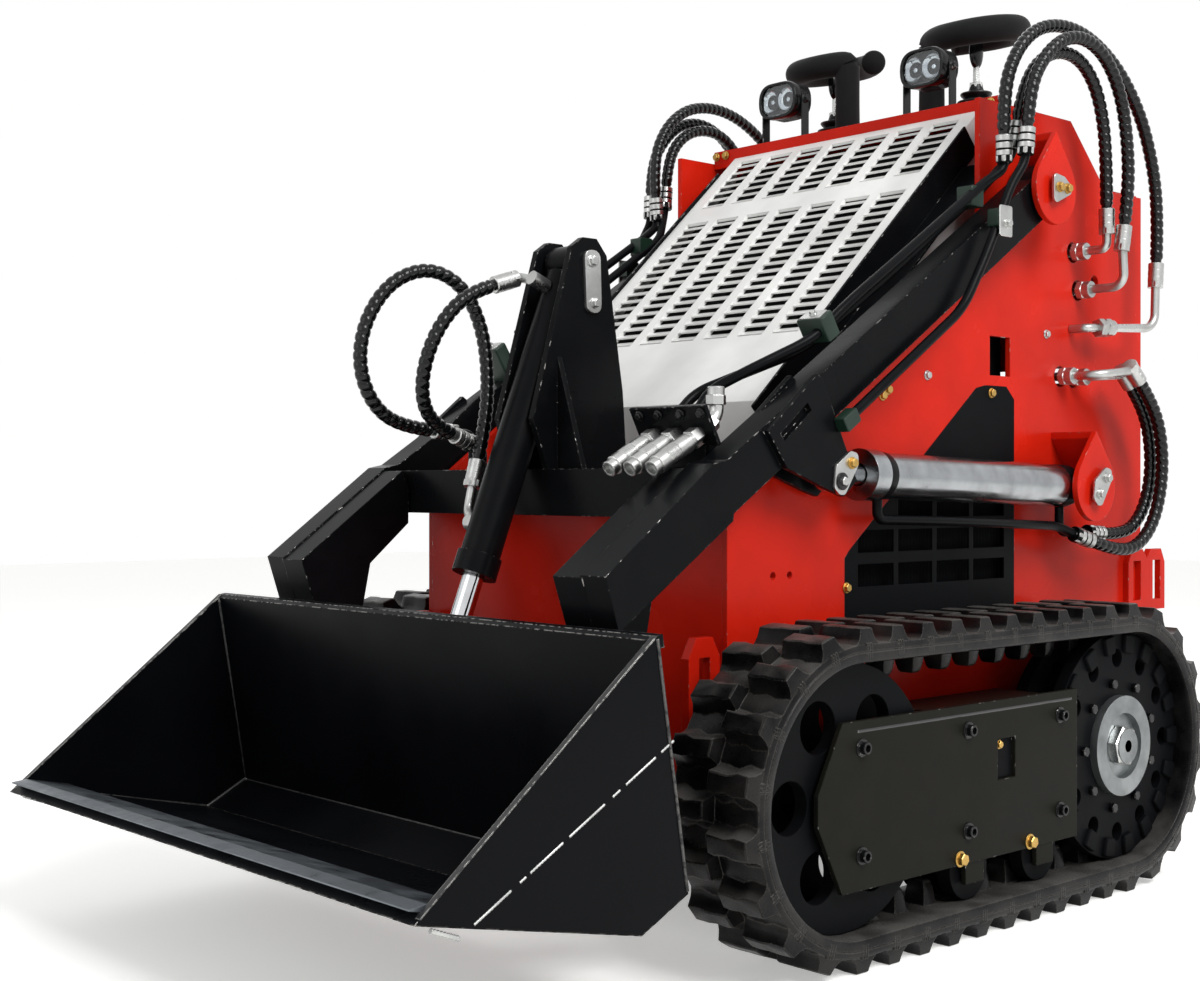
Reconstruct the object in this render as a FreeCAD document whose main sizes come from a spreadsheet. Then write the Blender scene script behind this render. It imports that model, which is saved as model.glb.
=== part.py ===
import FreeCAD, Part

# Mini track loader: a stand-on machine on two rubber tracks, with lift arms and a bucket.
# Millimetres. +X forward, +Y to the machine's left, +Z up, the ground at Z = 0.
# Inside each function X is counted from the drive sprockets' shaft; axle_x moves all of it at once.

import math
import os

import Sketcher

SIZES = (
    # whole machine
    ("axle_x", -401.5, "sprocket shaft, from the frame's origin"),
    ("fit_gap", 1, "gap between pieces that are assembled but not welded"),
    ("swing_gap", 6, "gap beside an arm that swings"),
    # tracks
    ("track_pitch", 72, "one link"),
    ("track_links", 38, "links in the loop"),
    ("track_radius", 223, "outside of the belt round a wheel"),
    ("cord_depth", 19.6, "steel cords below the outside of the belt"),
    ("belt", 28, "thickness of the belt"),
    ("lug_height", 23, "lug above the belt"),
    ("lug_root", 46, "lug length at the belt"),
    ("lug_crest", 32, "lug length at the tip"),
    ("track_width", 165, "belt width"),
    ("track_side", 573, "outer edge of the belt from the middle plane"),
    ("tooth_height", 34, "guide tooth below the belt"),
    ("tooth_length", 28, "guide tooth along the belt"),
    ("tooth_width", 40, "guide tooth across the belt"),
    ("disc", 22, "thickness of a wheel disc"),
    ("hub_radius", 86, "bright hub ring of the sprocket"),
    ("roller_radius", 48, "track roller"),
    ("roller_x", 243, "rear roller"),
    ("roller_step", 192, "from one roller to the next"),
    ("hanger", 8, "thickness of the roller hangers"),
    # track frame
    ("beam_bottom", 158, "track frame beam"),
    ("beam_top", 351, "track frame beam"),
    ("cover", 8, "thickness of the track cover plate"),
    ("shaft_end", 28, "roller shaft beyond the guide groove"),
    ("cover_stand", 2.5, "from the roller shafts' ends to the cover plate"),
    ("cover_rear", 152, "rear edge of the cover plate"),
    ("cover_front", 756, "front edge of the cover plate"),
    ("cover_nose", 809, "front point of the cover plate"),
    ("cover_top", 357, "upper edge of the cover plate"),
    ("cover_bottom", 113, "lower edge of the cover plate"),
    # chassis
    ("track_gap", 38, "between a side plate and its track"),
    ("wall", 10, "thickness of a side plate"),
    ("sheet", 5, "thickness of panels"),
    ("front_x", 800, "front edge of the side plates"),
    ("rear_x", -366, "rear edge of the side plates"),
    ("floor_z", 200, "underside of the chassis"),
    ("nose_z", 690, "top of the side plates at the front"),
    ("tower_z", 1366, "top of the side plates at the rear"),
    ("tower_front", 167, "front edge of the tower"),
    ("tower_rear", -119, "rear end of the tower's top"),
    ("step_z", 1252, "step behind the tower"),
    ("front_plate_z", 655, "top of the front plate"),
    ("hood_half", 300, "half width of the hood"),
    ("hood_low_x", 655, "lower front edge of the hood"),
    ("hood_low_z", 827, "lower front edge of the hood"),
    ("hood_high_x", 70, "upper edge of the hood"),
    ("hood_high_z", 1369, "upper edge of the hood"),
    ("hood_drop", 260, "height of the hood's front face"),
    ("louvre_width", 58, "opening of one column of louvres"),
    ("louvre_step", 80, "from one column of louvres to the next"),
    ("slat_pitch", 23, "from one slat to the next, down the slope"),
    ("slat_length", 21, "depth of a slat"),
    ("slat", 2.5, "thickness of a slat"),
    ("slat_lean", 20, "a slat's fall towards its outer edge, in degrees"),
    ("frame_sheet", 4, "thickness of the frames beside the hood"),
    ("gutter_drop", 55, "gutter beside the hood, below the hood's surface"),
    ("console_lip", 24, "height of the lip at the front of the console"),
    ("grille", 3, "thickness of a side grille"),
    # console
    ("rest_x", -100, "middle of a hand rest and its lever"),
    ("rest_y", 175, "middle of a hand rest and its lever"),
    ("rest_rise", 198, "hand rest above the console"),
    ("rest_ring", 84, "radius of a hand rest's ring"),
    ("rest_foam", 20, "radius of a hand rest's foam"),
    ("knob_rise", 34, "half the height of a lever's knob"),
    ("lamp_x", 52, "middle of a work lamp"),
    ("lamp_y", 178, "middle of a work lamp"),
    ("lamp_rise", 102, "work lamp above the console"),
    ("lamp_radius", 28, "rounded end of a work lamp"),
    ("lamp_spread", 17, "lens from the middle of a work lamp"),
    ("lamp_depth", 54, "work lamp from front to back"),
    # lift arms
    ("pivot_x", 47, "arm pivot"),
    ("pivot_z", 1212, "arm pivot"),
    ("arm_gap", 8, "between a side plate and its arm"),
    ("arm_width", 52, "width of an arm"),
    ("arm_depth", 72, "depth of an arm"),
    ("knee_x", 868, "middle of the arm at its knee"),
    ("knee_z", 684, "middle of the arm at its knee"),
    ("foot_inset", 48, "inner face of an arm's lower leg, inside the side plate's face"),
    ("foot_width", 60, "width of an arm's lower leg"),
    ("lug_plate", 10, "thickness of the bracket plates"),
    ("pin_radius", 16, "pivot pins"),
    ("pin_gap", 0.05, "radial clearance round a turning pin"),
    # lift cylinders
    ("lift_base_x", -55, "rear pin of the lift cylinder"),
    ("lift_base_z", 692, "rear pin of the lift cylinder"),
    ("lift_rod_x", 617, "front pin of the lift cylinder"),
    ("lift_rod_z", 713, "front pin of the lift cylinder"),
    ("lift_gap", 43, "middle of a lift cylinder from the side plate's face"),
    ("lift_barrel", 37, "radius of the lift barrel"),
    ("lift_rod", 16, "radius of the lift rod"),
    # tilt cylinder
    ("tilt_base_x", 785, "upper pin of the tilt cylinder"),
    ("tilt_base_z", 1058, "upper pin of the tilt cylinder"),
    ("tilt_rod_x", 1030, "lower pin of the tilt cylinder"),
    ("tilt_rod_z", 440, "lower pin of the tilt cylinder"),
    ("tilt_barrel", 32, "radius of the tilt barrel"),
    ("tilt_rod", 17, "radius of the tilt rod"),
    ("ear_y", 37, "inner face of a tower ear"),
    ("ear", 12, "thickness of a tower ear"),
    # hydraulic lines
    ("hose", 12, "radius of a hose in its guard"),
    ("pipe", 8, "radius of a steel pipe"),
    ("crimp", 14, "radius of a hose's crimped end"),
    ("crimp_length", 46, "length of a hose's crimped end"),
    ("crimp_depth", 30, "pipe inside a crimped end"),
    ("nut", 15, "radius of a union nut"),
    ("port_bore", 19, "hole in a side plate for a port"),
    ("coupler", 15, "radius of a quick coupler"),
    ("coupler_length", 110, "length of a quick coupler"),
    ("coupler_lean", 28, "fall of the quick couplers, in degrees"),
    # bucket
    ("hinge_x", 995, "bucket hinge"),
    ("hinge_z", 185, "bucket hinge"),
    ("bucket_half", 552, "half width of the bucket"),
    ("bucket_wall", 8, "thickness of the bucket's plates"),
    ("lip_x", 1499, "cutting edge"),
    ("lip_z", 201, "cutting edge"),
    ("heel_x", 1147, "heel of the bucket"),
    ("heel_z", 126, "heel of the bucket"),
    ("back_low_x", 1064, "lower rear corner of the bucket"),
    ("back_low_z", 166, "lower rear corner of the bucket"),
    ("back_top_x", 1120, "upper edge of the bucket"),
    ("back_top_z", 503, "upper edge of the bucket"),
    ("edge_width", 95, "cutting edge bar, from the lip back"),
    ("edge_bar", 10, "thickness of the cutting edge bar"),
)


class Size:
    """A length or an angle, known both as a number and as an expression on the sheet."""

    def __init__(self, text, value):
        self.text = text
        self.value = value

    def __add__(self, other):
        other = size(other)
        return Size(f"({self.text} + {other.text})", self.value + other.value)

    def __sub__(self, other):
        other = size(other)
        return Size(f"({self.text} - {other.text})", self.value - other.value)

    def __mul__(self, other):
        other = size(other)
        return Size(f"({self.text} * {other.text})", self.value * other.value)

    def __truediv__(self, other):
        other = size(other)
        return Size(f"({self.text} / {other.text})", self.value / other.value)

    def __radd__(self, other):
        return size(other) + self

    def __rsub__(self, other):
        return size(other) - self

    def __rmul__(self, other):
        return size(other) * self

    def __neg__(self):
        return size(0) - self


def size(value):
    """A plain number as a Size; a Size stays as it is."""
    if isinstance(value, Size):
        return value
    return Size(f"({value})", float(value))


doc = FreeCAD.newDocument("MiniTrackLoader")
sheet = doc.addObject("Spreadsheet::Sheet", "Sizes")
for row, (alias, number, note) in enumerate(SIZES, start=1):
    sheet.set(f"A{row}", str(number))
    sheet.setAlias(f"A{row}", alias)
    sheet.set(f"B{row}", note)
doc.recompute()
S = {alias: Size(f"Sizes.{alias}", float(sheet.get(alias))) for alias, number, note in SIZES}

S["side_y"] = S["track_side"] - S["track_width"] - S["track_gap"]
S["arm_inner"] = S["side_y"] + S["arm_gap"]
S["foot_inner"] = S["side_y"] - S["foot_inset"]
S["lift_y"] = S["side_y"] + S["lift_gap"]

subparts = []
SIDES = (("left", 1), ("right", -1))


# ---------------------------------------------------------------- helpers


def bind(item, name, value):
    """Set a property and tie it to the sheet."""
    value = size(value)
    setattr(item, name, value.value)
    item.setExpression(name, value.text)


def place(item, x=0, y=0, z=0, axis=None, angle=0):
    """Put an object at x (from the sprocket shaft), y, z, turned by angle about axis."""
    spot = (S["axle_x"] + x, size(y), size(z))
    turn = FreeCAD.Rotation()
    if axis:
        turn = FreeCAD.Rotation(FreeCAD.Vector(*axis), size(angle).value)
    item.Placement = FreeCAD.Placement(FreeCAD.Vector(*(c.value for c in spot)), turn)
    for letter, value in zip("xyz", spot):
        item.setExpression(f"Placement.Base.{letter}", value.text)


def keep(item, label):
    """Name a finished sub-part; its label is its file's name."""
    item.Label = label
    subparts.append(item)
    return item


def new_body(name):
    return doc.addObject("PartDesign::Body", name)


def new_sketch(body, plane):
    outline = body.newObject("Sketcher::SketchObject", body.Name + "_sketch")
    for feature in body.Origin.OriginFeatures:
        if feature.Role == plane:
            outline.AttachmentSupport = [(feature, "")]
    outline.MapMode = "FlatFace"
    return outline


def pin_point(outline, geometry, end, x, y):
    """Fix one point of a sketch at x, y."""
    for kind, value in (("DistanceX", size(x)), ("DistanceY", size(y))):
        number = outline.addConstraint(Sketcher.Constraint(kind, -1, 1, geometry, end, value.value))
        outline.setExpression(f"Constraints[{number}]", value.text)


def draw_polygon(outline, points):
    points = [(size(x), size(y)) for x, y in points]
    corners = [FreeCAD.Vector(x.value, y.value, 0) for x, y in points]
    lines = []
    for start, stop in zip(corners, corners[1:] + corners[:1]):
        lines.append(outline.addGeometry(Part.LineSegment(start, stop), False))
    for line, following in zip(lines, lines[1:] + lines[:1]):
        outline.addConstraint(Sketcher.Constraint("Coincident", line, 2, following, 1))
    for line, (x, y) in zip(lines, points):
        pin_point(outline, line, 1, x, y)


def draw_circle(outline, x, y, radius):
    x, y, radius = size(x), size(y), size(radius)
    centre = FreeCAD.Vector(x.value, y.value, 0)
    ring = Part.Circle(centre, FreeCAD.Vector(0, 0, 1), radius.value)
    number = outline.addGeometry(ring, False)
    pin_point(outline, number, 3, x, y)
    limit = outline.addConstraint(Sketcher.Constraint("Radius", number, radius.value))
    outline.setExpression(f"Constraints[{limit}]", radius.text)


def add_pad(body, outline, length, both=False):
    pad = body.newObject("PartDesign::Pad", body.Name + "_pad")
    pad.Profile = outline
    pad.Midplane = both
    bind(pad, "Length", length)
    doc.recompute()
    return pad


def add_pocket(body, outline):
    """Cut a sketch through the whole body, both ways."""
    before = body.Shape.Volume
    pocket = body.newObject("PartDesign::Pocket", body.Name + "_pocket")
    pocket.Profile = outline
    pocket.Type = "ThroughAll"
    pocket.Midplane = True
    doc.recompute()
    if not body.Shape.Volume < before:
        raise ValueError(f"{body.Name}: the pocket cuts nothing")
    return pocket


def plate(name, plane, points, thickness, holes=(), polygons=()):
    """A flat plate, its thickness centred on its plane. holes are (x, y, radius)."""
    body = new_body(name)
    outline = new_sketch(body, plane)
    draw_polygon(outline, points)
    add_pad(body, outline, thickness, both=True)
    if holes or polygons:
        cuts = new_sketch(body, plane)
        for x, y, radius in holes:
            draw_circle(cuts, x, y, radius)
        for corners in polygons:
            draw_polygon(cuts, corners)
        add_pocket(body, cuts)
    return body


def rectangle(x, y, width, height):
    return [(x, y), (x + width, y), (x + width, y + height), (x, y + height)]


def box(name, length, width, height):
    item = doc.addObject("Part::Box", name)
    bind(item, "Length", length)
    bind(item, "Width", width)
    bind(item, "Height", height)
    return item


def block(name, x, y, z, length, width, height):
    """A box with its lowest corner at x, y, z."""
    item = box(name, length, width, height)
    place(item, x, y, z)
    return item


def rod(name, radius, length):
    item = doc.addObject("Part::Cylinder", name)
    bind(item, "Radius", radius)
    bind(item, "Height", length)
    return item


def cross_rod(name, x, z, radius, low_y, high_y):
    """A cylinder along Y from low_y to high_y."""
    low_y = size(low_y)
    item = rod(name, radius, high_y - low_y)
    place(item, x, high_y, z, (1, 0, 0), 90)
    return item


def fuse(name, items, refine=True):
    item = doc.addObject("Part::MultiFuse", name)
    item.Shapes = list(items)
    item.Refine = refine
    return item


def cut(name, base, tool):
    item = doc.addObject("Part::Cut", name)
    item.Base = base
    item.Tool = tool
    return item


def group(name, items):
    """Solids that don't touch, kept in one sub-part."""
    item = doc.addObject("Part::Compound", name)
    item.Links = list(items)
    return item


def span(side, inner, outer):
    """Low and high Y of something between two distances from the middle plane."""
    if side > 0:
        return size(inner), size(outer)
    return -size(outer), -size(inner)


def slope(x1, z1, x2, z2):
    """Length and downward angle, in degrees, of a line in a plane along X and Z."""
    run = x2 - x1
    drop = z1 - z2
    length = Size(f"sqrt(({run.text})^2 + ({drop.text})^2)", math.hypot(run.value, drop.value))
    angle = Size(f"atan2({drop.text}; {run.text}) / 1deg", math.degrees(math.atan2(drop.value, run.value)))
    return length, angle


# ---------------------------------------------------------------- tracks


def track_values():
    """Radius of the cords, and distance between the two shafts, that the loop's links give."""
    cord = S["track_radius"] - S["cord_depth"]
    base = S["track_links"] * S["track_pitch"] / 2 - cord * math.pi
    return cord, base


CORD_RADIUS, WHEELBASE = track_values()
TRACK_Z = S["track_radius"] + S["lug_height"]
TRACK_Y = S["track_side"] - S["track_width"] / 2
WHEEL_RADIUS = S["track_radius"] - S["belt"] - S["fit_gap"]
GROOVE = S["tooth_width"] / 2 + 4
ROLLER_Z = S["lug_height"] + S["belt"] + S["roller_radius"] + S["fit_gap"]
COVER_SIDE = TRACK_Y + GROOVE + S["shaft_end"] + S["cover_stand"] + S["cover"]


def along_loop(distance, lift):
    """Point of the track's side view at a distance along the cords and a height above the belt."""
    cord = CORD_RADIUS.value
    base = WHEELBASE.value
    reach = S["track_radius"].value + lift
    arc = math.pi * cord
    distance = distance % (2 * (base + arc))
    if distance < base:
        return distance, TRACK_Z.value + reach
    distance -= base
    if distance < arc:
        turn = math.pi / 2 - distance / cord
        return base + reach * math.cos(turn), TRACK_Z.value + reach * math.sin(turn)
    distance -= arc
    if distance < base:
        return base - distance, TRACK_Z.value - reach
    turn = -math.pi / 2 - (distance - base) / cord
    return reach * math.cos(turn), TRACK_Z.value + reach * math.sin(turn)


def loop_face(stations, y):
    points = [FreeCAD.Vector(x, y, z) for x, z in (along_loop(d, lift) for d, lift in stations)]
    return Part.Face(Part.makePolygon(points + points[:1]))


def track_row(low, width, phase):
    """Half of the belt's width with its row of lugs, as one pushed-out outline."""
    pitch = S["track_pitch"].value
    root = S["lug_root"].value
    crest = S["lug_crest"].value
    height = S["lug_height"].value
    outside = []
    inside = []
    for link in range(int(S["track_links"].value)):
        middle = (link + phase) * pitch
        outside += [(middle - root / 2, 0), (middle - crest / 2, height)]
        outside += [(middle + crest / 2, height), (middle + root / 2, 0)]
        inside += [(middle, -S["belt"].value), (middle + pitch / 2, -S["belt"].value)]
    outer = loop_face(outside, low).extrude(FreeCAD.Vector(0, width, 0))
    inner = loop_face(inside, low).extrude(FreeCAD.Vector(0, width, 0))
    return outer.cut(inner)


def guide_tooth(link):
    """One guide tooth, a flat-topped wedge under the belt."""
    pitch = S["track_pitch"].value
    half = S["tooth_length"].value / 2
    bottom = -S["belt"].value + 2
    tip = -S["belt"].value - S["tooth_height"].value
    stations = []
    for offset, lift in ((-half, bottom), (half, bottom), (half * 0.6, tip), (-half * 0.6, tip)):
        stations.append(((link + 0.5) * pitch + offset, lift))
    low = TRACK_Y.value - S["tooth_width"].value / 2
    return loop_face(stations, low).extrude(FreeCAD.Vector(0, S["tooth_width"].value, 0))


def track(label, side):
    """Endless rubber track: two staggered rows of lugs outside, guide teeth inside."""
    half = S["track_width"].value / 2
    low = TRACK_Y.value - half
    rows = [track_row(low, half, 0), track_row(low + half, half, 0.5)]
    teeth = [guide_tooth(link) for link in range(int(S["track_links"].value))]
    shape = rows[0].fuse(rows[1:] + teeth).removeSplitter()
    if side < 0:
        shape = shape.mirror(FreeCAD.Vector(0, 0, 0), FreeCAD.Vector(0, 1, 0))
    item = doc.addObject("Part::Feature", label)
    item.Shape = shape
    place(item)
    keep(item, label)


def wheel_disc(name, x, z, radius, low_y, high_y, holes, hole_radius, hole_circle):
    """A disc along Y with a ring of round holes."""
    body = new_body(name)
    outline = new_sketch(body, "XZ_Plane")
    draw_circle(outline, 0, 0, radius)
    for number in range(holes):
        turn = 2 * math.pi * number / holes
        draw_circle(outline, hole_circle * math.cos(turn), hole_circle * math.sin(turn), hole_radius)
    add_pad(body, outline, high_y - low_y, both=True)
    place(body, x, (low_y + high_y) / 2, z)
    return body


def idler(label, side):
    """Front idler: two holed discs on one drum, with a groove for the guide teeth."""
    middle = TRACK_Y
    pieces = []
    for tag, near in (("in", middle - GROOVE - S["disc"]), ("out", middle + GROOVE)):
        low, high = span(side, near, near + S["disc"])
        name = f"{label}_{tag}"
        pieces.append(wheel_disc(name, WHEELBASE, TRACK_Z, WHEEL_RADIUS, low, high, 6, 38, size(122)))
    low, high = span(side, middle - GROOVE - S["disc"], middle + GROOVE + S["disc"])
    pieces.append(cross_rod(label + "_drum", WHEELBASE, TRACK_Z, 62, low, high))
    keep(fuse(label, pieces), label)


def sprocket(label, side):
    """Drive sprocket: two discs, a drum between them and the bright hub ring outside."""
    middle = TRACK_Y
    pieces = []
    for tag, near in (("in", middle - GROOVE - S["disc"]), ("out", middle + GROOVE)):
        low, high = span(side, near, near + S["disc"])
        pieces.append(wheel_disc(f"{label}_{tag}", 0, TRACK_Z, WHEEL_RADIUS, low, high, 12, 16, size(150)))
    low, high = span(side, middle - GROOVE - S["disc"], middle + GROOVE + S["disc"])
    pieces.append(cross_rod(label + "_drum", 0, TRACK_Z, 120, low, high))
    keep(fuse(label, pieces), label)
    low, high = span(side, middle + GROOVE + S["disc"], middle + GROOVE + S["disc"] + 14)
    ring = cross_rod(label + "_ring", 0, TRACK_Z, S["hub_radius"], low, high)
    bore = cross_rod(label + "_bore", 0, TRACK_Z, S["hub_radius"] - 30, low, high)
    low, high = span(side, middle + GROOVE + S["disc"], middle + GROOVE + S["disc"] + 22)
    nut = cross_rod(label + "_nut", 0, TRACK_Z, 30, low, high)
    return [cut(label + "_open", ring, bore), nut]


def rollers(label, side):
    """Bottom rollers, each turning on its own shaft."""
    items = []
    wide = S["hanger"] * 3
    for number in range(2):
        x = S["roller_x"] + S["roller_step"] * number
        inner_low, inner_high = span(side, TRACK_Y - GROOVE - wide, TRACK_Y - GROOVE)
        inner = cross_rod(f"{label}_in{number}", x, ROLLER_Z, S["roller_radius"], inner_low, inner_high)
        outer_low, outer_high = span(side, TRACK_Y + GROOVE, TRACK_Y + GROOVE + wide)
        outer = cross_rod(f"{label}_out{number}", x, ROLLER_Z, S["roller_radius"], outer_low, outer_high)
        low, high = span(side, TRACK_Y - GROOVE - S["shaft_end"], TRACK_Y + GROOVE + S["shaft_end"])
        shaft = cross_rod(f"{label}_shaft{number}", x, ROLLER_Z, 12, low, high)
        items.append(fuse(f"{label}_{number}", [inner, outer, shaft]))
    keep(group(label, items), label)


def track_frame(label, side):
    """Beam between the wheels, with roller hangers, cover plate and the arms that hold it."""
    inner_face = TRACK_Y - GROOVE - S["shaft_end"]
    outer_face = TRACK_Y + GROOVE + S["shaft_end"]
    rear = WHEEL_RADIUS + 12
    front = WHEELBASE - WHEEL_RADIUS - 12
    low, high = span(side, inner_face - S["hanger"], COVER_SIDE - S["cover"])
    beam = block(label + "_beam", rear, low, S["beam_bottom"], front - rear, high - low,
                 S["beam_top"] - S["beam_bottom"])
    pieces = [beam]
    for number in range(2):
        x = S["roller_x"] + S["roller_step"] * number
        for tag, near in (("in", inner_face - S["hanger"]), ("out", outer_face)):
            low, high = span(side, near, near + S["hanger"])
            name = f"{label}_hanger_{tag}{number}"
            pieces.append(block(name, x - 24, low, ROLLER_Z - 20, size(48), high - low,
                                S["beam_bottom"] - ROLLER_Z + 21))
    pieces.append(cover_plate(label + "_cover", side))
    for number, x in enumerate((rear + 20, front - 80)):
        low, high = span(side, S["side_y"], inner_face)
        name = f"{label}_mount{number}"
        pieces.append(block(name, x, low, S["beam_bottom"] + 40, size(60), high - low, size(90)))
    low, high = span(side, inner_face - S["hanger"], inner_face)
    arm = plate(label + "_yoke", "XZ_Plane", [
        (front - 10, S["beam_bottom"]), (WHEELBASE + 30, TRACK_Z - 45), (WHEELBASE + 30, TRACK_Z + 45),
        (front - 10, S["beam_top"])], S["hanger"])
    place(arm, 0, (low + high) / 2, 0)
    pieces.append(arm)
    low, high = span(side, inner_face - 1, TRACK_Y - GROOVE - S["disc"])
    pieces.append(cross_rod(label + "_axle", WHEELBASE, TRACK_Z, 30, low, high))
    keep(fuse(label, pieces), label)


def cover_plate(name, side):
    middle = (S["cover_top"] + S["cover_bottom"]) / 2
    item = plate(name, "XZ_Plane", [
        (S["cover_rear"], S["cover_bottom"]), (S["cover_front"], S["cover_bottom"]),
        (S["cover_nose"], middle - 20), (S["cover_nose"], middle + 25),
        (S["cover_front"], S["cover_top"]), (S["cover_rear"], S["cover_top"])],
        S["cover"], polygons=[rectangle(size(330), size(232), size(48), size(64))])
    low, high = span(side, COVER_SIDE - S["cover"], COVER_SIDE)
    place(item, 0, (low + high) / 2, 0)
    return item


def drive_motor(label, side):
    """Track motor, from the side plate to the inner face of the sprocket."""
    low, high = span(side, S["side_y"], TRACK_Y - GROOVE - S["disc"])
    keep(cross_rod(label, 0, TRACK_Z, 78, low, high), label)


# ---------------------------------------------------------------- chassis


HOOD_SLOPE = slope(S["hood_high_x"], S["hood_high_z"], S["hood_low_x"], S["hood_low_z"])
LOUVRE_BANKS = ((20, 7), (232, 17))
LOUVRE_COLUMNS = 7
COUPLER_ROWS = (275, 319, 365)
COUPLER_X = 853
COUPLER_Z = 769
PIPE_END = [(835, y, 778.5) for y in COUPLER_ROWS]
PORTS = ((-126, 1124), (-142, 1055), (-126, 893), (-84, 893))
GRILLE_OUTLINE = [(62, 452), (530, 452), (530, 578), (519, 590), (177, 862), (150, 868), (86, 868), (62, 846)]


def side_plate(label, side):
    """Outer wall of the chassis: low at the front, up to the arm tower, with a step behind it."""
    item = plate(label, "XZ_Plane", [
        (S["rear_x"] + 40, S["floor_z"]), (S["front_x"] - 60, S["floor_z"]),
        (S["front_x"], S["floor_z"] + 60), (S["front_x"], S["nose_z"]),
        (S["tower_front"], S["tower_z"] - 212), (S["tower_front"], S["tower_z"]),
        (S["tower_rear"], S["tower_z"]), (S["tower_rear"] - 98, S["step_z"] + 20),
        (S["tower_rear"] - 138, S["step_z"]), (S["rear_x"], S["step_z"]),
        (S["rear_x"], S["floor_z"] + 40)],
        S["wall"],
        holes=[(699, 556, 6), (661, 556, 6), (-200, 1075, 13)]
        + [(x, z, S["port_bore"]) for x, z in PORTS],
        polygons=[GRILLE_OUTLINE, rectangle(size(75), size(886), size(61), size(69))])
    place(item, 0, side * (S["side_y"] - S["wall"] / 2), 0)
    keep(item, label)


def side_grille(label, side):
    """Black vented plate over the opening in a side plate."""
    rows = []
    for column in range(4):
        rows.append(rectangle(size(93 + 104 * column), size(531), size(92), size(36)))
        rows.append(rectangle(size(93 + 104 * column), size(586), size(92), size(36)))
    for column in range(3):
        rows.append(rectangle(size(93 + 104 * column), size(641), size(92), size(36)))
    for column in range(2):
        rows.append(rectangle(size(93 + 104 * column), size(696), size(92), size(36)))
    item = plate(label, "XZ_Plane", [
        *GRILLE_OUTLINE], S["grille"], polygons=rows)
    place(item, 0, side * (S["side_y"] - S["grille"] / 2), 0)
    keep(item, label)


def cross_plate(name, x, low_z, high_z, thickness, polygons=()):
    """A plate across the machine between the side plates, its rear face at x."""
    half = S["side_y"] - S["wall"]
    item = plate(name, "YZ_Plane", rectangle(-half, low_z, half * 2, high_z - low_z), thickness,
                 polygons=polygons)
    place(item, x + thickness / 2, 0, 0)
    return item


def front_plate():
    keep(cross_plate("front_plate", S["front_x"] - S["wall"], S["floor_z"] + S["wall"],
                     S["front_plate_z"], S["wall"]), "front_plate")


def belly_pan():
    half = S["side_y"] - S["wall"]
    item = block("belly_pan", S["rear_x"] + 40, -half, S["floor_z"],
                 S["front_x"] - 60 - S["rear_x"] - 40, half * 2, S["wall"])
    keep(item, "belly_pan")


def rear_panel():
    slots = [rectangle(size(-240), size(480 + 60 * row), size(480), size(30)) for row in range(8)]
    keep(cross_plate("rear_panel", S["rear_x"], S["floor_z"] + 40, S["step_z"], S["sheet"],
                     polygons=slots), "rear_panel")


def console():
    """Control deck between the tops of the side plates, with a lip along its front edge."""
    half = S["side_y"] - S["wall"]
    front = S["hood_high_x"] - S["fit_gap"]
    deck = block("console_deck", S["tower_rear"], -half, S["tower_z"] - 12,
                 front - S["tower_rear"], half * 2, size(12))
    lip = block("console_front_lip", front - S["sheet"], -half, S["tower_z"] - 12, S["sheet"], half * 2,
                S["console_lip"] + 12)
    back = block("console_back", S["tower_rear"], -half, S["step_z"], S["sheet"], half * 2,
                 S["tower_z"] - S["step_z"])
    shelf = block("console_shelf", S["rear_x"], -half, S["step_z"] - S["sheet"] + 5,
                  S["tower_rear"] - S["rear_x"] + S["sheet"], half * 2, S["sheet"])
    keep(fuse("console", [deck, lip, back, shelf]), "console")


def on_hood(distance, depth):
    """Point at a distance down the hood's slope and a depth square to its surface."""
    length, angle = HOOD_SLOPE
    lean = math.radians(angle.value)
    x = S["hood_high_x"] + distance * math.cos(lean) - depth * math.sin(lean)
    z = S["hood_high_z"] - distance * math.sin(lean) - depth * math.cos(lean)
    return x, z


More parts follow.
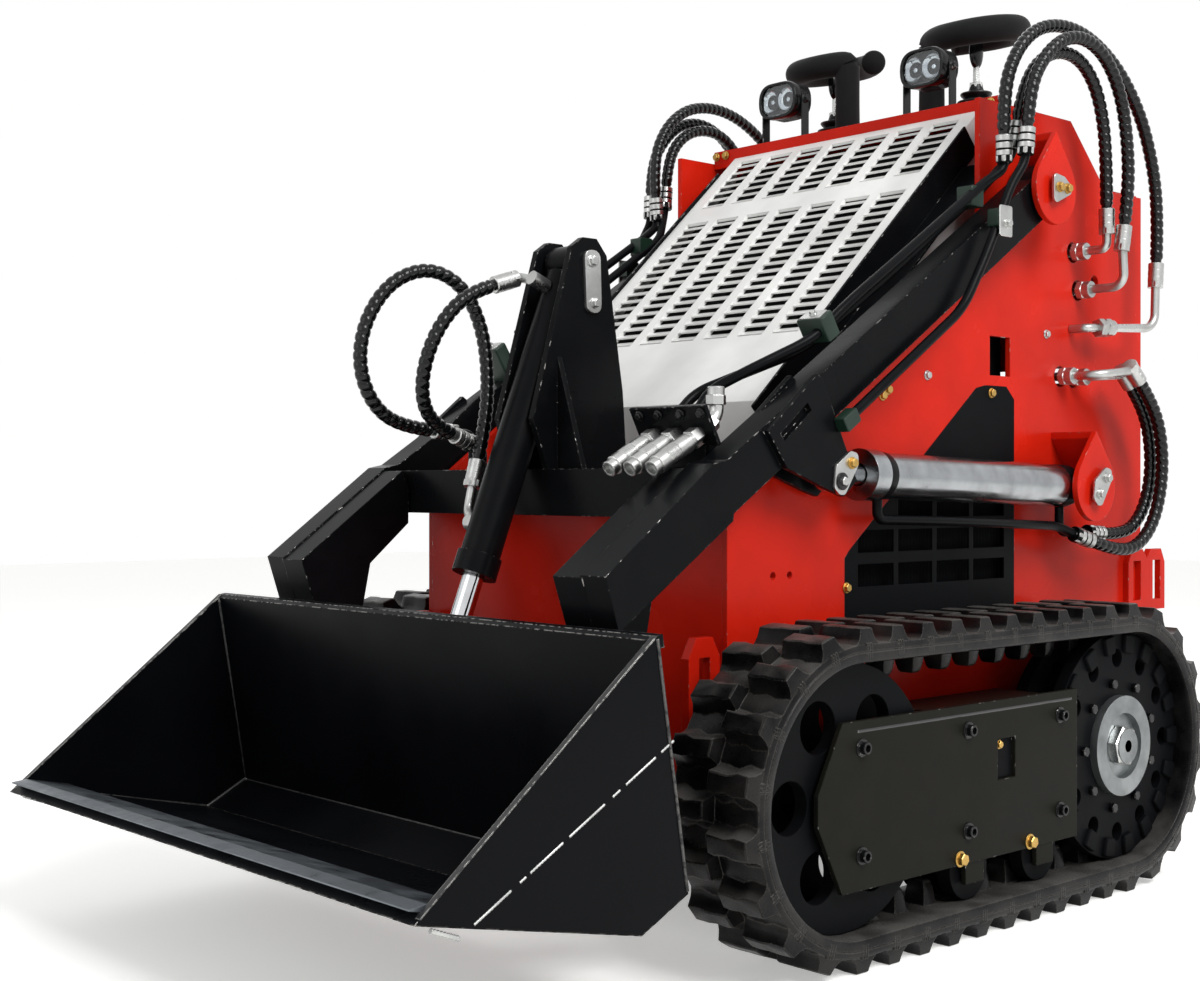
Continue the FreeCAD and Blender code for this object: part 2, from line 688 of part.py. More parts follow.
def hood():
    """Hollow sloping hood, open underneath, with columns of louvres whose slats cross behind the skin."""
    half = S["hood_half"]
    skin = S["sheet"]
    length, angle = HOOD_SLOPE
    low_x, low_z, high_x, high_z = (S[f"hood_{key}"] for key in ("low_x", "low_z", "high_x", "high_z"))
    bottom = low_z - S["hood_drop"]
    outline = [(high_x, high_z), (high_x, bottom), (low_x, bottom), (low_x, low_z)]
    outer = plate("hood_outer", "XZ_Plane", outline, half * 2)
    place(outer)
    hollow = [(high_x - 40, high_z - skin * 1.5 + 37), (high_x - 40, bottom - 40),
              (low_x - skin, bottom - 40), (low_x - skin, low_z - skin * 1.5)]
    inner = plate("hood_inner", "XZ_Plane", hollow, (half - skin) * 2)
    place(inner)
    windows = []
    slats = []
    for bank, (start, slat_count) in enumerate(LOUVRE_BANKS):
        run = S["slat_pitch"] * slat_count
        for column in range(LOUVRE_COLUMNS):
            y = S["louvre_step"] * (column - (LOUVRE_COLUMNS - 1) / 2) - S["louvre_width"] / 2
            window = box(f"louvre_{bank}_{column}", run, S["louvre_width"], skin * 4)
            x, z = on_hood(size(start), skin * 2)
            place(window, x, y, z, (0, 1, 0), angle)
            windows.append(window)
        for number in range(slat_count):
            slat = box(f"slat_{bank}_{number}", S["slat_length"], (half - skin) * 2 + 2, S["slat"])
            x, z = on_hood(start + S["slat_pitch"] * (number + 1) - 4, S["slat"] + 1)
            lean = math.radians(S["slat_lean"].value)
            place(slat, x - S["slat_length"] * math.cos(lean), skin - half - 1,
                  z + S["slat_length"] * math.sin(lean), (0, 1, 0), S["slat_lean"])
            slats.append(slat)
    shell = cut("hood_shell", cut("hood_skin", outer, inner), fuse("hood_windows", windows))
    keep(fuse("hood", [shell] + slats), "hood")


def hood_frames():
    """Black frames beside the hood: an upright edge, and a gutter out to the side plate."""
    items = []
    length, angle = HOOD_SLOPE
    drop = S["gutter_drop"]
    inner = S["hood_half"] + S["fit_gap"]
    outer = S["side_y"] - S["wall"] - S["fit_gap"]
    for side_name, side in SIDES:
        low, high = span(side, inner, inner + S["frame_sheet"])
        upright = box(f"frame_upright_{side_name}", length - 40, high - low, drop)
        x, z = on_hood(size(60), drop - 6)
        place(upright, x, low, z, (0, 1, 0), angle)
        low, high = span(side, inner, outer)
        gutter = box(f"frame_gutter_{side_name}", length - 90, high - low, S["frame_sheet"])
        x, z = on_hood(size(110), drop - 6)
        place(gutter, x, low, z, (0, 1, 0), angle)
        items.append(fuse(f"hood_frame_{side_name}", [upright, gutter]))
    keep(group("hood_frames", items), "hood_frames")


def engine():
    """Engine, pump and tanks as one plain block on the belly pan."""
    item = block("engine", -250, -230, S["floor_z"] + S["wall"], size(700), size(460), size(560))
    keep(item, "engine")


def arm_bracket(label, side):
    """Outer support of the arm pivot: a teardrop plate held off the side plate by a bent wrap."""
    gap = S["swing_gap"]
    outer = S["arm_inner"] + S["arm_width"] + gap
    item = teardrop(label + "_plate", S["lug_plate"], 62, 100)
    place(item, S["pivot_x"], side * (outer + S["lug_plate"] / 2), S["pivot_z"])
    wrap = roof(label + "_wrap", 62, 100, 8, outer - S["side_y"])
    place(wrap, S["pivot_x"], side * (S["side_y"] + outer) / 2, S["pivot_z"])
    low, high = span(side, S["side_y"], outer + S["lug_plate"] + 8)
    pin = cross_rod(label + "_pin", S["pivot_x"], S["pivot_z"], S["pin_radius"], low, high)
    keep(fuse(label, [item, wrap, pin]), label)


def teardrop(name, thickness, radius, tip):
    """Round plate with a point at the top."""
    turn = math.acos(radius / tip)
    body = new_body(name)
    outline = new_sketch(body, "XZ_Plane")
    points = [FreeCAD.Vector(0, tip, 0)]
    for sign in (1, -1):
        points.append(FreeCAD.Vector(sign * radius * math.sin(turn), radius * math.cos(turn), 0))
    outline.addGeometry(Part.LineSegment(points[2], points[0]), False)
    outline.addGeometry(Part.LineSegment(points[0], points[1]), False)
    ring = Part.Circle(FreeCAD.Vector(0, 0, 0), FreeCAD.Vector(0, 0, 1), radius)
    start = math.pi / 2 + turn
    outline.addGeometry(Part.ArcOfCircle(ring, start, start + 2 * (math.pi - turn)), False)
    add_pad(body, outline, thickness, both=True)
    return body


def roof(name, radius, tip, thickness, width):
    """Bent strip from the point of a teardrop down its rear side."""
    turn = math.acos(radius / tip)
    x, z = -radius * math.sin(turn), radius * math.cos(turn)
    points = [(0, tip), (x, z), (-radius, 0), (-radius + thickness, 0),
              (x + thickness * 0.8, z - thickness * 0.6), (0, tip - thickness * 1.5)]
    return plate(name, "XZ_Plane", points, width)


def cylinder_bracket(label, side):
    """Rear support of a lift cylinder."""
    outer = S["lift_y"] + S["lift_barrel"] + 3
    item = teardrop(label + "_plate", S["lug_plate"], 62, 98)
    place(item, S["lift_base_x"], side * (outer + S["lug_plate"] / 2), S["lift_base_z"])
    wrap = roof(label + "_wrap", 62, 98, 8, outer - S["side_y"])
    place(wrap, S["lift_base_x"], side * (S["side_y"] + outer) / 2, S["lift_base_z"])
    low, high = span(side, S["side_y"], outer + S["lug_plate"] + 8)
    pin = cross_rod(label + "_pin", S["lift_base_x"], S["lift_base_z"], S["pin_radius"], low, high)
    keep(fuse(label, [item, wrap, pin]), label)


def tie_downs():
    """Lifting and tying lugs: one oblong eye at the front, a plate with two at the rear."""
    items = []
    thick = size(12)
    for side_name, side in SIDES:
        front = plate(f"tie_front_{side_name}", "XZ_Plane", [
            (0, 0), (66, 0), (66, 110), (50, 140), (16, 140), (0, 110)], size(16),
            polygons=[[(22, 30), (44, 30), (44, 110), (22, 110)]])
        place(front, S["front_x"], side * (S["side_y"] - S["wall"] - thick), 330)
        items.append(front)
        rear = plate(f"tie_rear_{side_name}", "XZ_Plane", [
            (0, 0), (134, 0), (134, 92), (120, 118), (82, 118), (67, 100), (52, 118), (14, 118), (0, 92)], thick,
            polygons=[[(17, 20), (45, 20), (45, 96), (17, 96)], [(89, 20), (117, 20), (117, 96), (89, 96)]])
        place(rear, S["rear_x"] - 70, side * (S["side_y"] + thick / 2), 452)
        items.append(rear)
    keep(group("tie_down_lugs", items), "tie_down_lugs")


def platform():
    """Operator's platform behind the chassis, on two brackets."""
    deck = block("platform_deck", S["rear_x"] - 330, -260, 262, size(300), size(520), size(8))
    items = [deck]
    for side_name, side in SIDES:
        low, high = span(side, 230, 240)
        items.append(block(f"platform_bracket_{side_name}", S["rear_x"] - 330, low, 230, size(330), high - low,
                           size(80)))
    keep(fuse("platform", items), "platform")


def hand_rests():
    """Foam-covered tubes: each rises from the console and rings its lever, not quite closed."""
    items = []
    ring = S["rest_ring"].value
    for side_name, side in SIDES:
        points = []
        for number in range(8):
            turn = math.radians(-57 + 44 * number)
            x = ring * math.cos(turn)
            y = side * (S["rest_y"].value + ring * math.sin(turn))
            points.append(FreeCAD.Vector(x, y, S["rest_rise"].value - 0.17 * x))
        foot = FreeCAD.Vector(points[0].x, points[0].y, 0)
        item = doc.addObject("Part::Feature", f"hand_rest_{side_name}")
        item.Shape = tube([foot] + points, S["rest_foam"].value)
        place(item, S["rest_x"], 0, S["tower_z"])
        items.append(item)
    keep(group("hand_rests", items), "hand_rests")


def tube(points, radius, along=0.45):
    """Round bar along straight runs joined by tangent arcs, each taking a share of its shorter run."""
    edges = []
    here = points[0]
    for before, corner, after in zip(points, points[1:], points[2:]):
        inward = (before - corner).normalize()
        outward = (after - corner).normalize()
        turn = math.pi - inward.getAngle(outward)
        if turn < 0.01:
            continue
        reach = along * min((before - corner).Length, (after - corner).Length)
        bend = reach / math.tan(turn / 2)
        first = corner + inward * reach
        last = corner + outward * reach
        bisector = (inward + outward).normalize()
        centre = corner + bisector * math.hypot(bend, reach)
        middle = centre - bisector * bend
        edges.append(Part.LineSegment(here, first).toShape())
        edges.append(Part.Arc(first, middle, last).toShape())
        here = last
    edges.append(Part.LineSegment(here, points[-1]).toShape())
    path = Part.Wire(edges)
    ring = Part.Circle(points[0], points[1] - points[0], radius).toShape()
    shape = path.makePipeShell([Part.Wire([ring])], True, False)
    expected = path.Length * math.pi * radius ** 2
    if abs(shape.Volume - expected) > 0.02 * expected:
        raise ValueError("a tube's volume is not its section times its length")
    return shape


def levers():
    """Two joysticks with ribbed bellows and flat oval knobs."""
    items = []
    folds = 4
    fold = size(22)
    for side_name, side in SIDES:
        pieces = []
        for number in range(folds):
            cone = doc.addObject("Part::Cone", f"bellows_{side_name}_{number}")
            bind(cone, "Radius1", size(46) - 6 * number)
            bind(cone, "Radius2", size(35) - 6 * number)
            bind(cone, "Height", fold)
            place(cone, S["rest_x"], side * S["rest_y"], S["tower_z"] + fold * number)
            pieces.append(cone)
        stick = rod(f"stick_{side_name}", 7, S["rest_rise"] - S["knob_rise"] - 10)
        place(stick, S["rest_x"], side * S["rest_y"], S["tower_z"] + 10)
        knob = doc.addObject("Part::Ellipsoid", f"knob_{side_name}")
        bind(knob, "Radius1", S["knob_rise"])
        bind(knob, "Radius2", S["knob_rise"] * 0.55)
        bind(knob, "Radius3", 11)
        place(knob, S["rest_x"], side * S["rest_y"], S["tower_z"] + S["rest_rise"] - S["knob_rise"])
        items.append(fuse(f"lever_{side_name}", pieces + [stick, knob]))
    keep(group("control_levers", items), "control_levers")


def lamps():
    """Two oval work lamps on the console, each held in a bent strap."""
    items = []
    radius = S["lamp_radius"]
    spread = S["lamp_spread"]
    strap = size(3)
    for side_name, side in SIDES:
        x = S["lamp_x"] - S["lamp_depth"] / 2
        y = side * S["lamp_y"]
        z = S["tower_z"] + S["lamp_rise"]
        pieces = [block(f"lamp_{side_name}_case", x, y - spread, z - radius, S["lamp_depth"], spread * 2, radius * 2)]
        for tag, way in (("a", 1), ("b", -1)):
            end = rod(f"lamp_{side_name}_end_{tag}", radius, S["lamp_depth"])
            place(end, x, y + spread * way, z, (0, 1, 0), 90)
            pieces.append(end)
            leg = block(f"lamp_{side_name}_leg_{tag}", S["lamp_x"] - 16,
                        y + (spread + radius) * way - strap / 2, S["tower_z"], size(20), strap,
                        S["lamp_rise"] + 8)
            pieces.append(leg)
        pieces.append(block(f"lamp_{side_name}_base", S["lamp_x"] - 16, y - spread - radius, S["tower_z"],
                            size(20), (spread + radius) * 2, strap))
        items.append(fuse(f"lamp_{side_name}", pieces))
    keep(group("work_lamps", items), "work_lamps")


# ---------------------------------------------------------------- lift arms


def arm(label, side):
    """Box beam from the pivot to the knee, lower leg to the bucket hinge and cylinder bracket."""
    length, angle = slope(S["pivot_x"], S["pivot_z"], S["knee_x"], S["knee_z"])
    depth = S["arm_depth"]
    middle = S["arm_inner"] + S["arm_width"] / 2
    beam = plate(label + "_beam", "XZ_Plane", rectangle(size(0), -depth / 2, length, depth), S["arm_width"])
    place(beam, S["pivot_x"], side * middle, S["pivot_z"], (0, 1, 0), angle)
    low, high = span(side, S["arm_inner"], S["arm_inner"] + S["arm_width"])
    boss = cross_rod(label + "_boss", S["pivot_x"], S["pivot_z"], 46, low, high)
    leg = plate(label + "_leg", "XZ_Plane", [
        (840, 735), (890, 725), (1098, 572), (1073, 495), (850, 643)], S["arm_width"])
    place(leg, 0, side * middle, 0)
    foot = plate(label + "_foot", "XZ_Plane", [
        (894, 719), (1098, 569), (1073, 497), (1042, 440), (1025, 150), (965, 150), (960, 230),
        (985, 440), (960, 560), (880, 628), (880, 690)], S["foot_width"])
    place(foot, 0, side * (S["foot_inner"] + S["foot_width"] / 2), 0)
    outer = S["arm_inner"] + S["arm_width"]
    ear_points = [(S["lift_rod_x"] - 32, S["lift_rod_z"] - 12), (S["lift_rod_x"], S["lift_rod_z"] - 36),
                  (S["lift_rod_x"] + 34, S["lift_rod_z"] - 26), (S["lift_rod_x"] + 128, S["lift_rod_z"] + 6),
                  (S["lift_rod_x"] + 170, S["lift_rod_z"] + 60), (S["lift_rod_x"] + 60, S["lift_rod_z"] + 148),
                  (S["lift_rod_x"] + 48, S["lift_rod_z"] + 140)]
    slot = [(S["lift_rod_x"] + 134, S["lift_rod_z"] + 46), (S["lift_rod_x"] + 143, S["lift_rod_z"] + 57),
            (S["lift_rod_x"] + 83, S["lift_rod_z"] + 104), (S["lift_rod_x"] + 74, S["lift_rod_z"] + 93)]
    ear = plate(label + "_ear_out", "XZ_Plane", ear_points, S["lug_plate"], polygons=[slot])
    place(ear, 0, side * (outer + S["lug_plate"] / 2), 0)
    inner = plate(label + "_ear_in", "XZ_Plane", ear_points, S["lug_plate"])
    place(inner, 0, side * (S["arm_inner"] + S["lug_plate"] / 2), 0)
    solid = fuse(label + "_solid", [beam, boss, leg, foot, ear, inner])
    low, high = span(side, S["foot_inner"] - 30, outer + 30)
    bore = cross_rod(label + "_bore", S["pivot_x"], S["pivot_z"], S["pin_radius"] + S["pin_gap"], low, high)
    hinge = cross_rod(label + "_hinge", S["hinge_x"], S["hinge_z"], S["pin_radius"] + S["pin_gap"], low, high)
    keep(cut(label, solid, fuse(label + "_bores", [bore, hinge])), label)


def tilt_tower():
    """Cross tube between the arms with the two ears of the tilt cylinder."""
    half = S["arm_inner"]
    tube_box = block("tower_tube", 808, -half, 646, size(66), half * 2, size(74))
    pieces = [tube_box]
    for side_name, side in SIDES:
        ear = plate(f"tower_ear_{side_name}", "XZ_Plane", [
            (704, 745), (800, 668), (808, 646), (874, 646), (874, 720), (905, 800), (823, 1080), (800, 1096), (770, 1096),
            (748, 1070), (712, 850)], S["ear"])
        place(ear, 0, side * (S["ear_y"] + S["ear"] / 2), 0)
        pieces.append(ear)
        low, high = span(side, S["ear_y"] + S["ear"], S["ear_y"] + S["ear"] + 60)
        rib = plate(f"tower_rib_{side_name}", "YZ_Plane", [
            (low if side > 0 else high, 720), (high if side > 0 else low, 720),
            (low if side > 0 else high, 900)], size(10))
        place(rib, 850, 0, 0)
        pieces.append(rib)
    solid = fuse("tower_solid", pieces)
    pin = cross_rod("tower_pin", S["tilt_base_x"], S["tilt_base_z"], S["pin_radius"],
                    -(S["ear_y"] + S["ear"] + 6), S["ear_y"] + S["ear"] + 6)
    keep(fuse("tilt_tower", [solid, pin]), "tilt_tower")


def coupler_bracket():
    """Folded plate on the cross tube that carries the quick couplers."""
    face = box("bracket_face", 6, 158, 65)
    place(face, 838.3, 237, 754.2, (0, 1, 0), S["coupler_lean"])
    foot = block("bracket_foot", 815, 237, 720, size(31), size(133), size(35))
    keep(fuse("coupler_bracket", [foot, face]), "coupler_bracket")


def quick_couplers():
    """Three hydraulic quick couplers, leaning down and forward."""
    items = []
    for number, y in enumerate(COUPLER_ROWS):
        item = rod(f"coupler_{number}", S["coupler"], S["coupler_length"])
        place(item, COUPLER_X + 0.3, y, COUPLER_Z, (0, 1, 0), S["coupler_lean"] + 90)
        items.append(item)
    keep(group("quick_couplers", items), "quick_couplers")


# ---------------------------------------------------------------- cylinders


def barrel(label, x1, z1, x2, z2, y, radius, length, eye_half, bore):
    """Cylinder barrel from its eye at x1, z1 towards x2, z2, hollow for the rod."""
    reach, angle = slope(x1, z1, x2, z2)
    case = rod(label + "_case", radius, length)
    eye = cross_rod(label + "_eye", x1, z1, size(30), y - eye_half, y + eye_half)
    start = 24
    turn = angle + 90
    case_x = x1 + start * math.cos(math.radians(angle.value))
    case_z = z1 - start * math.sin(math.radians(angle.value))
    place(case, case_x, y, case_z, (0, 1, 0), turn)
    gland = rod(label + "_gland", radius + 4, 34)
    far = start + size(length).value - 34
    place(gland, x1 + far * math.cos(math.radians(angle.value)), y,
          z1 - far * math.sin(math.radians(angle.value)), (0, 1, 0), turn)
    solid = fuse(label + "_solid", [case, eye, gland])
    hole = rod(label + "_hole", bore, size(length) + 40)
    place(hole, x1 + 70 * math.cos(math.radians(angle.value)), y,
          z1 - 70 * math.sin(math.radians(angle.value)), (0, 1, 0), turn)
    pin = cross_rod(label + "_pin_hole", x1, z1, S["pin_radius"] + S["pin_gap"], y - 90, y + 90)
    keep(cut(label, solid, fuse(label + "_holes", [hole, pin])), label)


def piston_rod(label, x1, z1, x2, z2, y, radius, start, eye_half):
    """Rod from inside the barrel to its eye at x2, z2."""
    reach, angle = slope(x1, z1, x2, z2)
    bar = rod(label + "_bar", radius, reach - start)
    place(bar, x1 + start * math.cos(math.radians(angle.value)), y,
          z1 - start * math.sin(math.radians(angle.value)), (0, 1, 0), angle + 90)
    eye = cross_rod(label + "_eye", x2, z2, size(28), y - eye_half, y + eye_half)
    keep(fuse(label, [bar, eye]), label)


# ---------------------------------------------------------------- hydraulic lines

# Each route is a list of points from end to end, with Y counted outwards on either side.
REAR_HOSES = (
    [(142, 430, 1316), (133, 434, 1370), (98, 438, 1424), (38, 440, 1456), (-32, 440, 1456),
     (-84, 440, 1420), (-113, 440, 1360), (-125, 440, 1280), (-126, 440, 1196)],
    [(158, 460, 1300), (154, 462, 1368), (112, 464, 1430), (56, 468, 1470), (-10, 470, 1480),
     (-76, 470, 1456), (-124, 470, 1398), (-146, 470, 1316), (-150, 470, 1232), (-142, 466, 1164)],
    [(176, 426, 1290), (181, 428, 1366), (146, 430, 1440), (84, 432, 1490), (4, 434, 1508),
     (-84, 436, 1498), (-172, 438, 1456), (-244, 440, 1384), (-290, 440, 1290), (-306, 440, 1196),
     (-300, 440, 1112)],
)
LIFT_HOSES = (
    [(-232, 425, 880), (-280, 425, 840), (-308, 425, 768), (-304, 425, 692), (-268, 425, 632),
     (-208, 425, 602), (-138, 422, 606)],
    [(-215, 454, 886), (-270, 454, 842), (-300, 454, 764), (-294, 454, 682), (-258, 454, 612),
     (-196, 454, 576), (-126, 450, 578), (-74, 440, 594)],
)
TILT_HOSES = (
    [(940, -166, 785), (1010, -166, 790), (1066, -166, 826), (1092, -164, 892), (1080, -158, 964),
     (1036, -148, 1026), (972, -132, 1050), (914, -118, 1022), (884, -108, 956), (876, -102, 878),
     (884, -98, 800), (906, -92, 734)],
    [(908, -46, 1018), (958, -50, 1002), (1004, -60, 954), (1026, -74, 892), (1020, -92, 832),
     (984, -108, 792), (930, -122, 776)],
)

# The steel pipes along an arm: two on top of it, and one down its side and along its lower edge.
ARM_PIPES = (
    [(196, 394, 1200), (420, 392, 1050), (560, 390, 960)],
    [(216, 414, 1206), (440, 414, 1062), (560, 412, 985)],
    [(196, 452, 1196), (256, 450, 1085), (326, 450, 982.8), (626, 450, 789.9)],
)
# On the left, the two upper pipes go on to the couplers.
COUPLER_BENDS = {
    0: [(640, 376, 902), (712, 330, 868), (770, COUPLER_ROWS[0], 836), PIPE_END[0]],
    1: [(650, 404, 916), (730, 360, 872), (782, COUPLER_ROWS[1], 838), PIPE_END[1]],
}
# Middle of each clamp on the arm's pipes, its width and its height.
PIPE_CLAMPS = (((240, 403, 1180), 30, 34), ((228, 452, 1140), 22, 30))
CLAMP_LENGTH = 32
CRIMP_GAP = 0.1      # between a crimped end and the hose that it holds
PIPE_SETBACK = 6     # from the hose's end to the pipe inside the crimped end
PIPE_LEAD = 56       # straight run of a pipe before its first bend
PORT_DEPTH = 14      # how far an elbow goes in past the side plate
NUT_STANDS = (3, 30)  # where a union nut starts and ends, out from the side plate


def metal_run(name, points, side, radius, along=0.3):
    """A pipe on a route, bent tighter than a hose."""
    item = doc.addObject("Part::Feature", name)
    item.Shape = tube([FreeCAD.Vector(x, side * y, z) for x, y, z in points], size(radius).value, along)
    place(item)
    return item


def straight(name, start, stop, side, radius):
    """A round fitting from start to stop."""
    start = FreeCAD.Vector(start[0], side * start[1], start[2])
    stop = FreeCAD.Vector(stop[0], side * stop[1], stop[2])
    item = doc.addObject("Part::Feature", name)
    item.Shape = Part.makeCylinder(size(radius).value, (stop - start).Length, start, stop - start)
    place(item)
    return item


def hose(name, points, side):
    """A hose in its guard on a route, with the volume that its length gives."""
    return metal_run(name, points, side, S["hose"], 0.45)


def towards(start, stop, distance):
    """Point at a distance from start on the line to stop."""
    run = FreeCAD.Vector(*stop) - FreeCAD.Vector(*start)
    return tuple(FreeCAD.Vector(*start) + run.normalize() * distance)


def inside_crimp(end, before):
    """Point on a hose's line where the pipe inside its crimped end starts."""
    return towards(end, before, -S["crimp_depth"].value)


def crimped_end(name, end, before, side):
    """Crimped end that carries a hose on in line past its last point."""
    return straight(name, end, towards(end, before, -S["crimp_length"].value), side, S["crimp"])


def rear_hoses():
    """Hoses from the arms' pipes over the pivots to the chassis ports."""
    items = []
    for side_name, side in SIDES:
        for number, route in enumerate(REAR_HOSES):
            items.append(hose(f"rear_hose_{side_name}_{number}", route, side))
    keep(group("rear_hoses", items), "rear_hoses")


def port_fittings():
    """Crimps, elbows and union nuts between the hoses and the ports in the side plates."""
    items = []
    inside = S["side_y"].value - S["wall"].value - PORT_DEPTH
    for side_name, side in SIDES:
        for number, (route, port) in enumerate(zip(REAR_HOSES[:2] + LIFT_HOSES, PORTS)):
            end = route[-1] if number < 2 else route[0]
            before = route[-2] if number < 2 else route[1]
            name = f"fitting_{side_name}_{number}"
            drop = (port[0], end[1], port[1])
            nut_from = (port[0], S["side_y"].value + NUT_STANDS[0], port[1])
            nut_to = (port[0], S["side_y"].value + NUT_STANDS[1], port[1])
            pieces = [crimped_end(name + "_crimp", end, before, side),
                      metal_run(name + "_elbow", [inside_crimp(end, before), drop, (port[0], inside, port[1])],
                                side, S["pipe"]),
                      straight(name + "_nut", nut_from, nut_to, side, S["nut"])]
            items.append(fuse(name, pieces, False))
        route = REAR_HOSES[2]
        end = route[-1]
        name = f"fitting_{side_name}_pipe"
        foot = (-118, S["side_y"].value + 1, 982)
        pieces = [crimped_end(name + "_crimp", end, route[-2], side),
                  metal_run(name + "_run", [inside_crimp(end, route[-2]), (-294, 440, 990), (-118, 404, 982),
                                            foot], side, S["pipe"]),
                  straight(name + "_nut", (-150, 411, 983.5), (-182, 417, 985), side, S["nut"])]
        items.append(fuse(name, pieces, False))
    keep(group("port_fittings", items), "port_fittings")


def lift_hoses(label, side):
    """Hoses from the chassis ports round to a lift cylinder."""
    keep(group(label, [hose(f"{label}_{number}", route, side) for number, route in enumerate(LIFT_HOSES)]), label)


def lift_pipes(label, side):
    """Port blocks under a lift cylinder, and the pipe to its front port."""
    *_, before_a, end_a = LIFT_HOSES[0]
    *_, before_b, end_b = LIFT_HOSES[1]
    pieces = [crimped_end(label + "_crimp_a", end_a, before_a, side),
              metal_run(label + "_rear", [inside_crimp(end_a, before_a), (-14, 413, 610), (-14, 413, 655.5)],
                        side, S["pipe"], 0.4)]
    others = [crimped_end(label + "_crimp_b", end_b, before_b, side),
              metal_run(label + "_front", [inside_crimp(end_b, before_b), (10, 424, 622), (300, 424, 634),
                                           (502, 413, 640), (502, 413, 671.5)], side, S["pipe"], 0.4)]
    keep(group(label, [fuse(label + "_a", pieces, False), fuse(label + "_b", others, False)]), label)


def tilt_hoses():
    """Hoses in a loop from the cross tube to the two ports of the tilt cylinder."""
    items = [hose(f"tilt_hose_{number}", route, 1) for number, route in enumerate(TILT_HOSES)]
    keep(group("tilt_hoses", items), "tilt_hoses")


def tilt_ports():
    """Fittings that the tilt hoses end in, on the tilt cylinder."""
    *_, before_low, end_low = TILT_HOSES[0]
    end_high, before_high, *_ = TILT_HOSES[1]
    upper = [crimped_end("tilt_crimp_high", end_high, before_high, 1),
             metal_run("tilt_elbow_high", [inside_crimp(end_high, before_high), (858, -42, 1034), (858, 0, 1026)],
                       1, S["pipe"]),
             straight("tilt_boss_high", (836.4, 0, 1017.2), (868, 0, 1029.8), 1, 12)]
    lower = [crimped_end("tilt_crimp_low", end_low, before_low, 1),
             metal_run("tilt_elbow_low", [inside_crimp(end_low, before_low), (934, -82, 650), (952, -40, 634)], 1,
                       S["pipe"]),
             straight("tilt_boss_low", (952, -33, 634), (952, -56, 634), 1, 13)]
    keep(group("tilt_ports", [fuse("tilt_port_high", upper, False), fuse("tilt_port_low", lower, False)]),
         "tilt_ports")


def arm_pipes():
    """Steel pipes along the arms, with their crimped ends, clamps and the last bends to the couplers."""
    items = []
    for side_name, side in SIDES:
        name = f"pipes_{side_name}"
        pieces = []
        for number, (line, route) in enumerate(zip((REAR_HOSES[0], REAR_HOSES[2], REAR_HOSES[1]), ARM_PIPES)):
            start = line[0]
            ahead = line[1]
            points = [towards(start, ahead, -PIPE_SETBACK), towards(start, ahead, -PIPE_LEAD)] + route
            if side > 0:
                points += COUPLER_BENDS.get(number, [])
            pieces.append(metal_run(f"{name}_{number}", points, side, S["pipe"]))
            pieces.append(straight(f"{name}_crimp{number}", towards(start, ahead, -CRIMP_GAP),
                                   towards(start, ahead, -S["crimp_length"].value), side, S["crimp"]))
        for number, ((x, y, z), wide, tall) in enumerate(PIPE_CLAMPS):
            low, high = span(side, y - wide / 2, y + wide / 2)
            clamp = block(f"{name}_clamp{number}", x - CLAMP_LENGTH / 2, low, z - tall / 2, size(CLAMP_LENGTH),
                          high - low, size(tall))
            pieces.append(clamp)
        items.append(fuse(name, pieces, False))
    ends = ((TILT_HOSES[0][0], TILT_HOSES[0][1], (858, -166, 779)),
            (TILT_HOSES[1][-1], TILT_HOSES[1][-2], (858, -140.7, 754.7)))
    for number, (end, before, corner) in enumerate(ends):
        name = f"pipes_tilt_{number}"
        foot = (corner[0], corner[1], 720)
        items.append(fuse(name, [crimped_end(name + "_crimp", end, before, 1),
                                 metal_run(name + "_bend", [inside_crimp(end, before), corner, foot], 1, S["pipe"])],
                          False))
    keep(group("arm_pipes", items), "arm_pipes")


# ---------------------------------------------------------------- bucket


def back_line(offset, height):
    """Point behind the bucket's back plate, at a share of its height."""
    dx = S["back_top_x"] - S["back_low_x"]
    dz = S["back_top_z"] - S["back_low_z"]
    length = Size(f"sqrt(({dx.text})^2 + ({dz.text})^2)", math.hypot(dx.value, dz.value))
    x = S["back_low_x"] + dx * height - dz / length * offset
    z = S["back_low_z"] + dz * height + dx / length * offset
    return x, z


def attach_plate():
    """Quick-attach plate behind the bucket, with ears round the arms' hinge and the rod's eye."""
    thick = 12
    gap = S["fit_gap"]
    panel = plate("attach_panel", "XZ_Plane", [
        back_line(gap, 0.02), back_line(gap + thick, 0.02), back_line(gap + thick, 0.93),
        back_line(gap, 0.93)], size(900))
    place(panel)
    pieces = [panel]
    for side_name, side in SIDES:
        inner = S["foot_inner"] - 14
        outer = S["foot_inner"] + S["foot_width"] + 4
        for tag, near in (("in", inner), ("out", outer)):
            ear = plate(f"attach_ear_{tag}_{side_name}", "XZ_Plane", [
                back_line(gap + 6, 0.04), (S["hinge_x"], S["hinge_z"] - 32),
                (S["hinge_x"] - 32, S["hinge_z"]), (S["hinge_x"] - 10, S["hinge_z"] + 40),
                back_line(gap + 6, 0.45)], size(10))
            place(ear, 0, side * (near + 5), 0)
            pieces.append(ear)
        low, high = span(side, inner, outer + 10)
        pieces.append(cross_rod(f"attach_pin_{side_name}", S["hinge_x"], S["hinge_z"], S["pin_radius"], low, high))
        fork = plate(f"attach_fork_{side_name}", "XZ_Plane", [
            back_line(gap + 6, 0.55), (S["tilt_rod_x"] - 20, S["tilt_rod_z"] - 34),
            (S["tilt_rod_x"] - 34, S["tilt_rod_z"]), (S["tilt_rod_x"] - 20, S["tilt_rod_z"] + 28),
            back_line(gap + 6, 0.9)], size(10))
        place(fork, 0, side * 40, 0)
        pieces.append(fork)
    keep(fuse("attach_plate", pieces), "attach_plate")


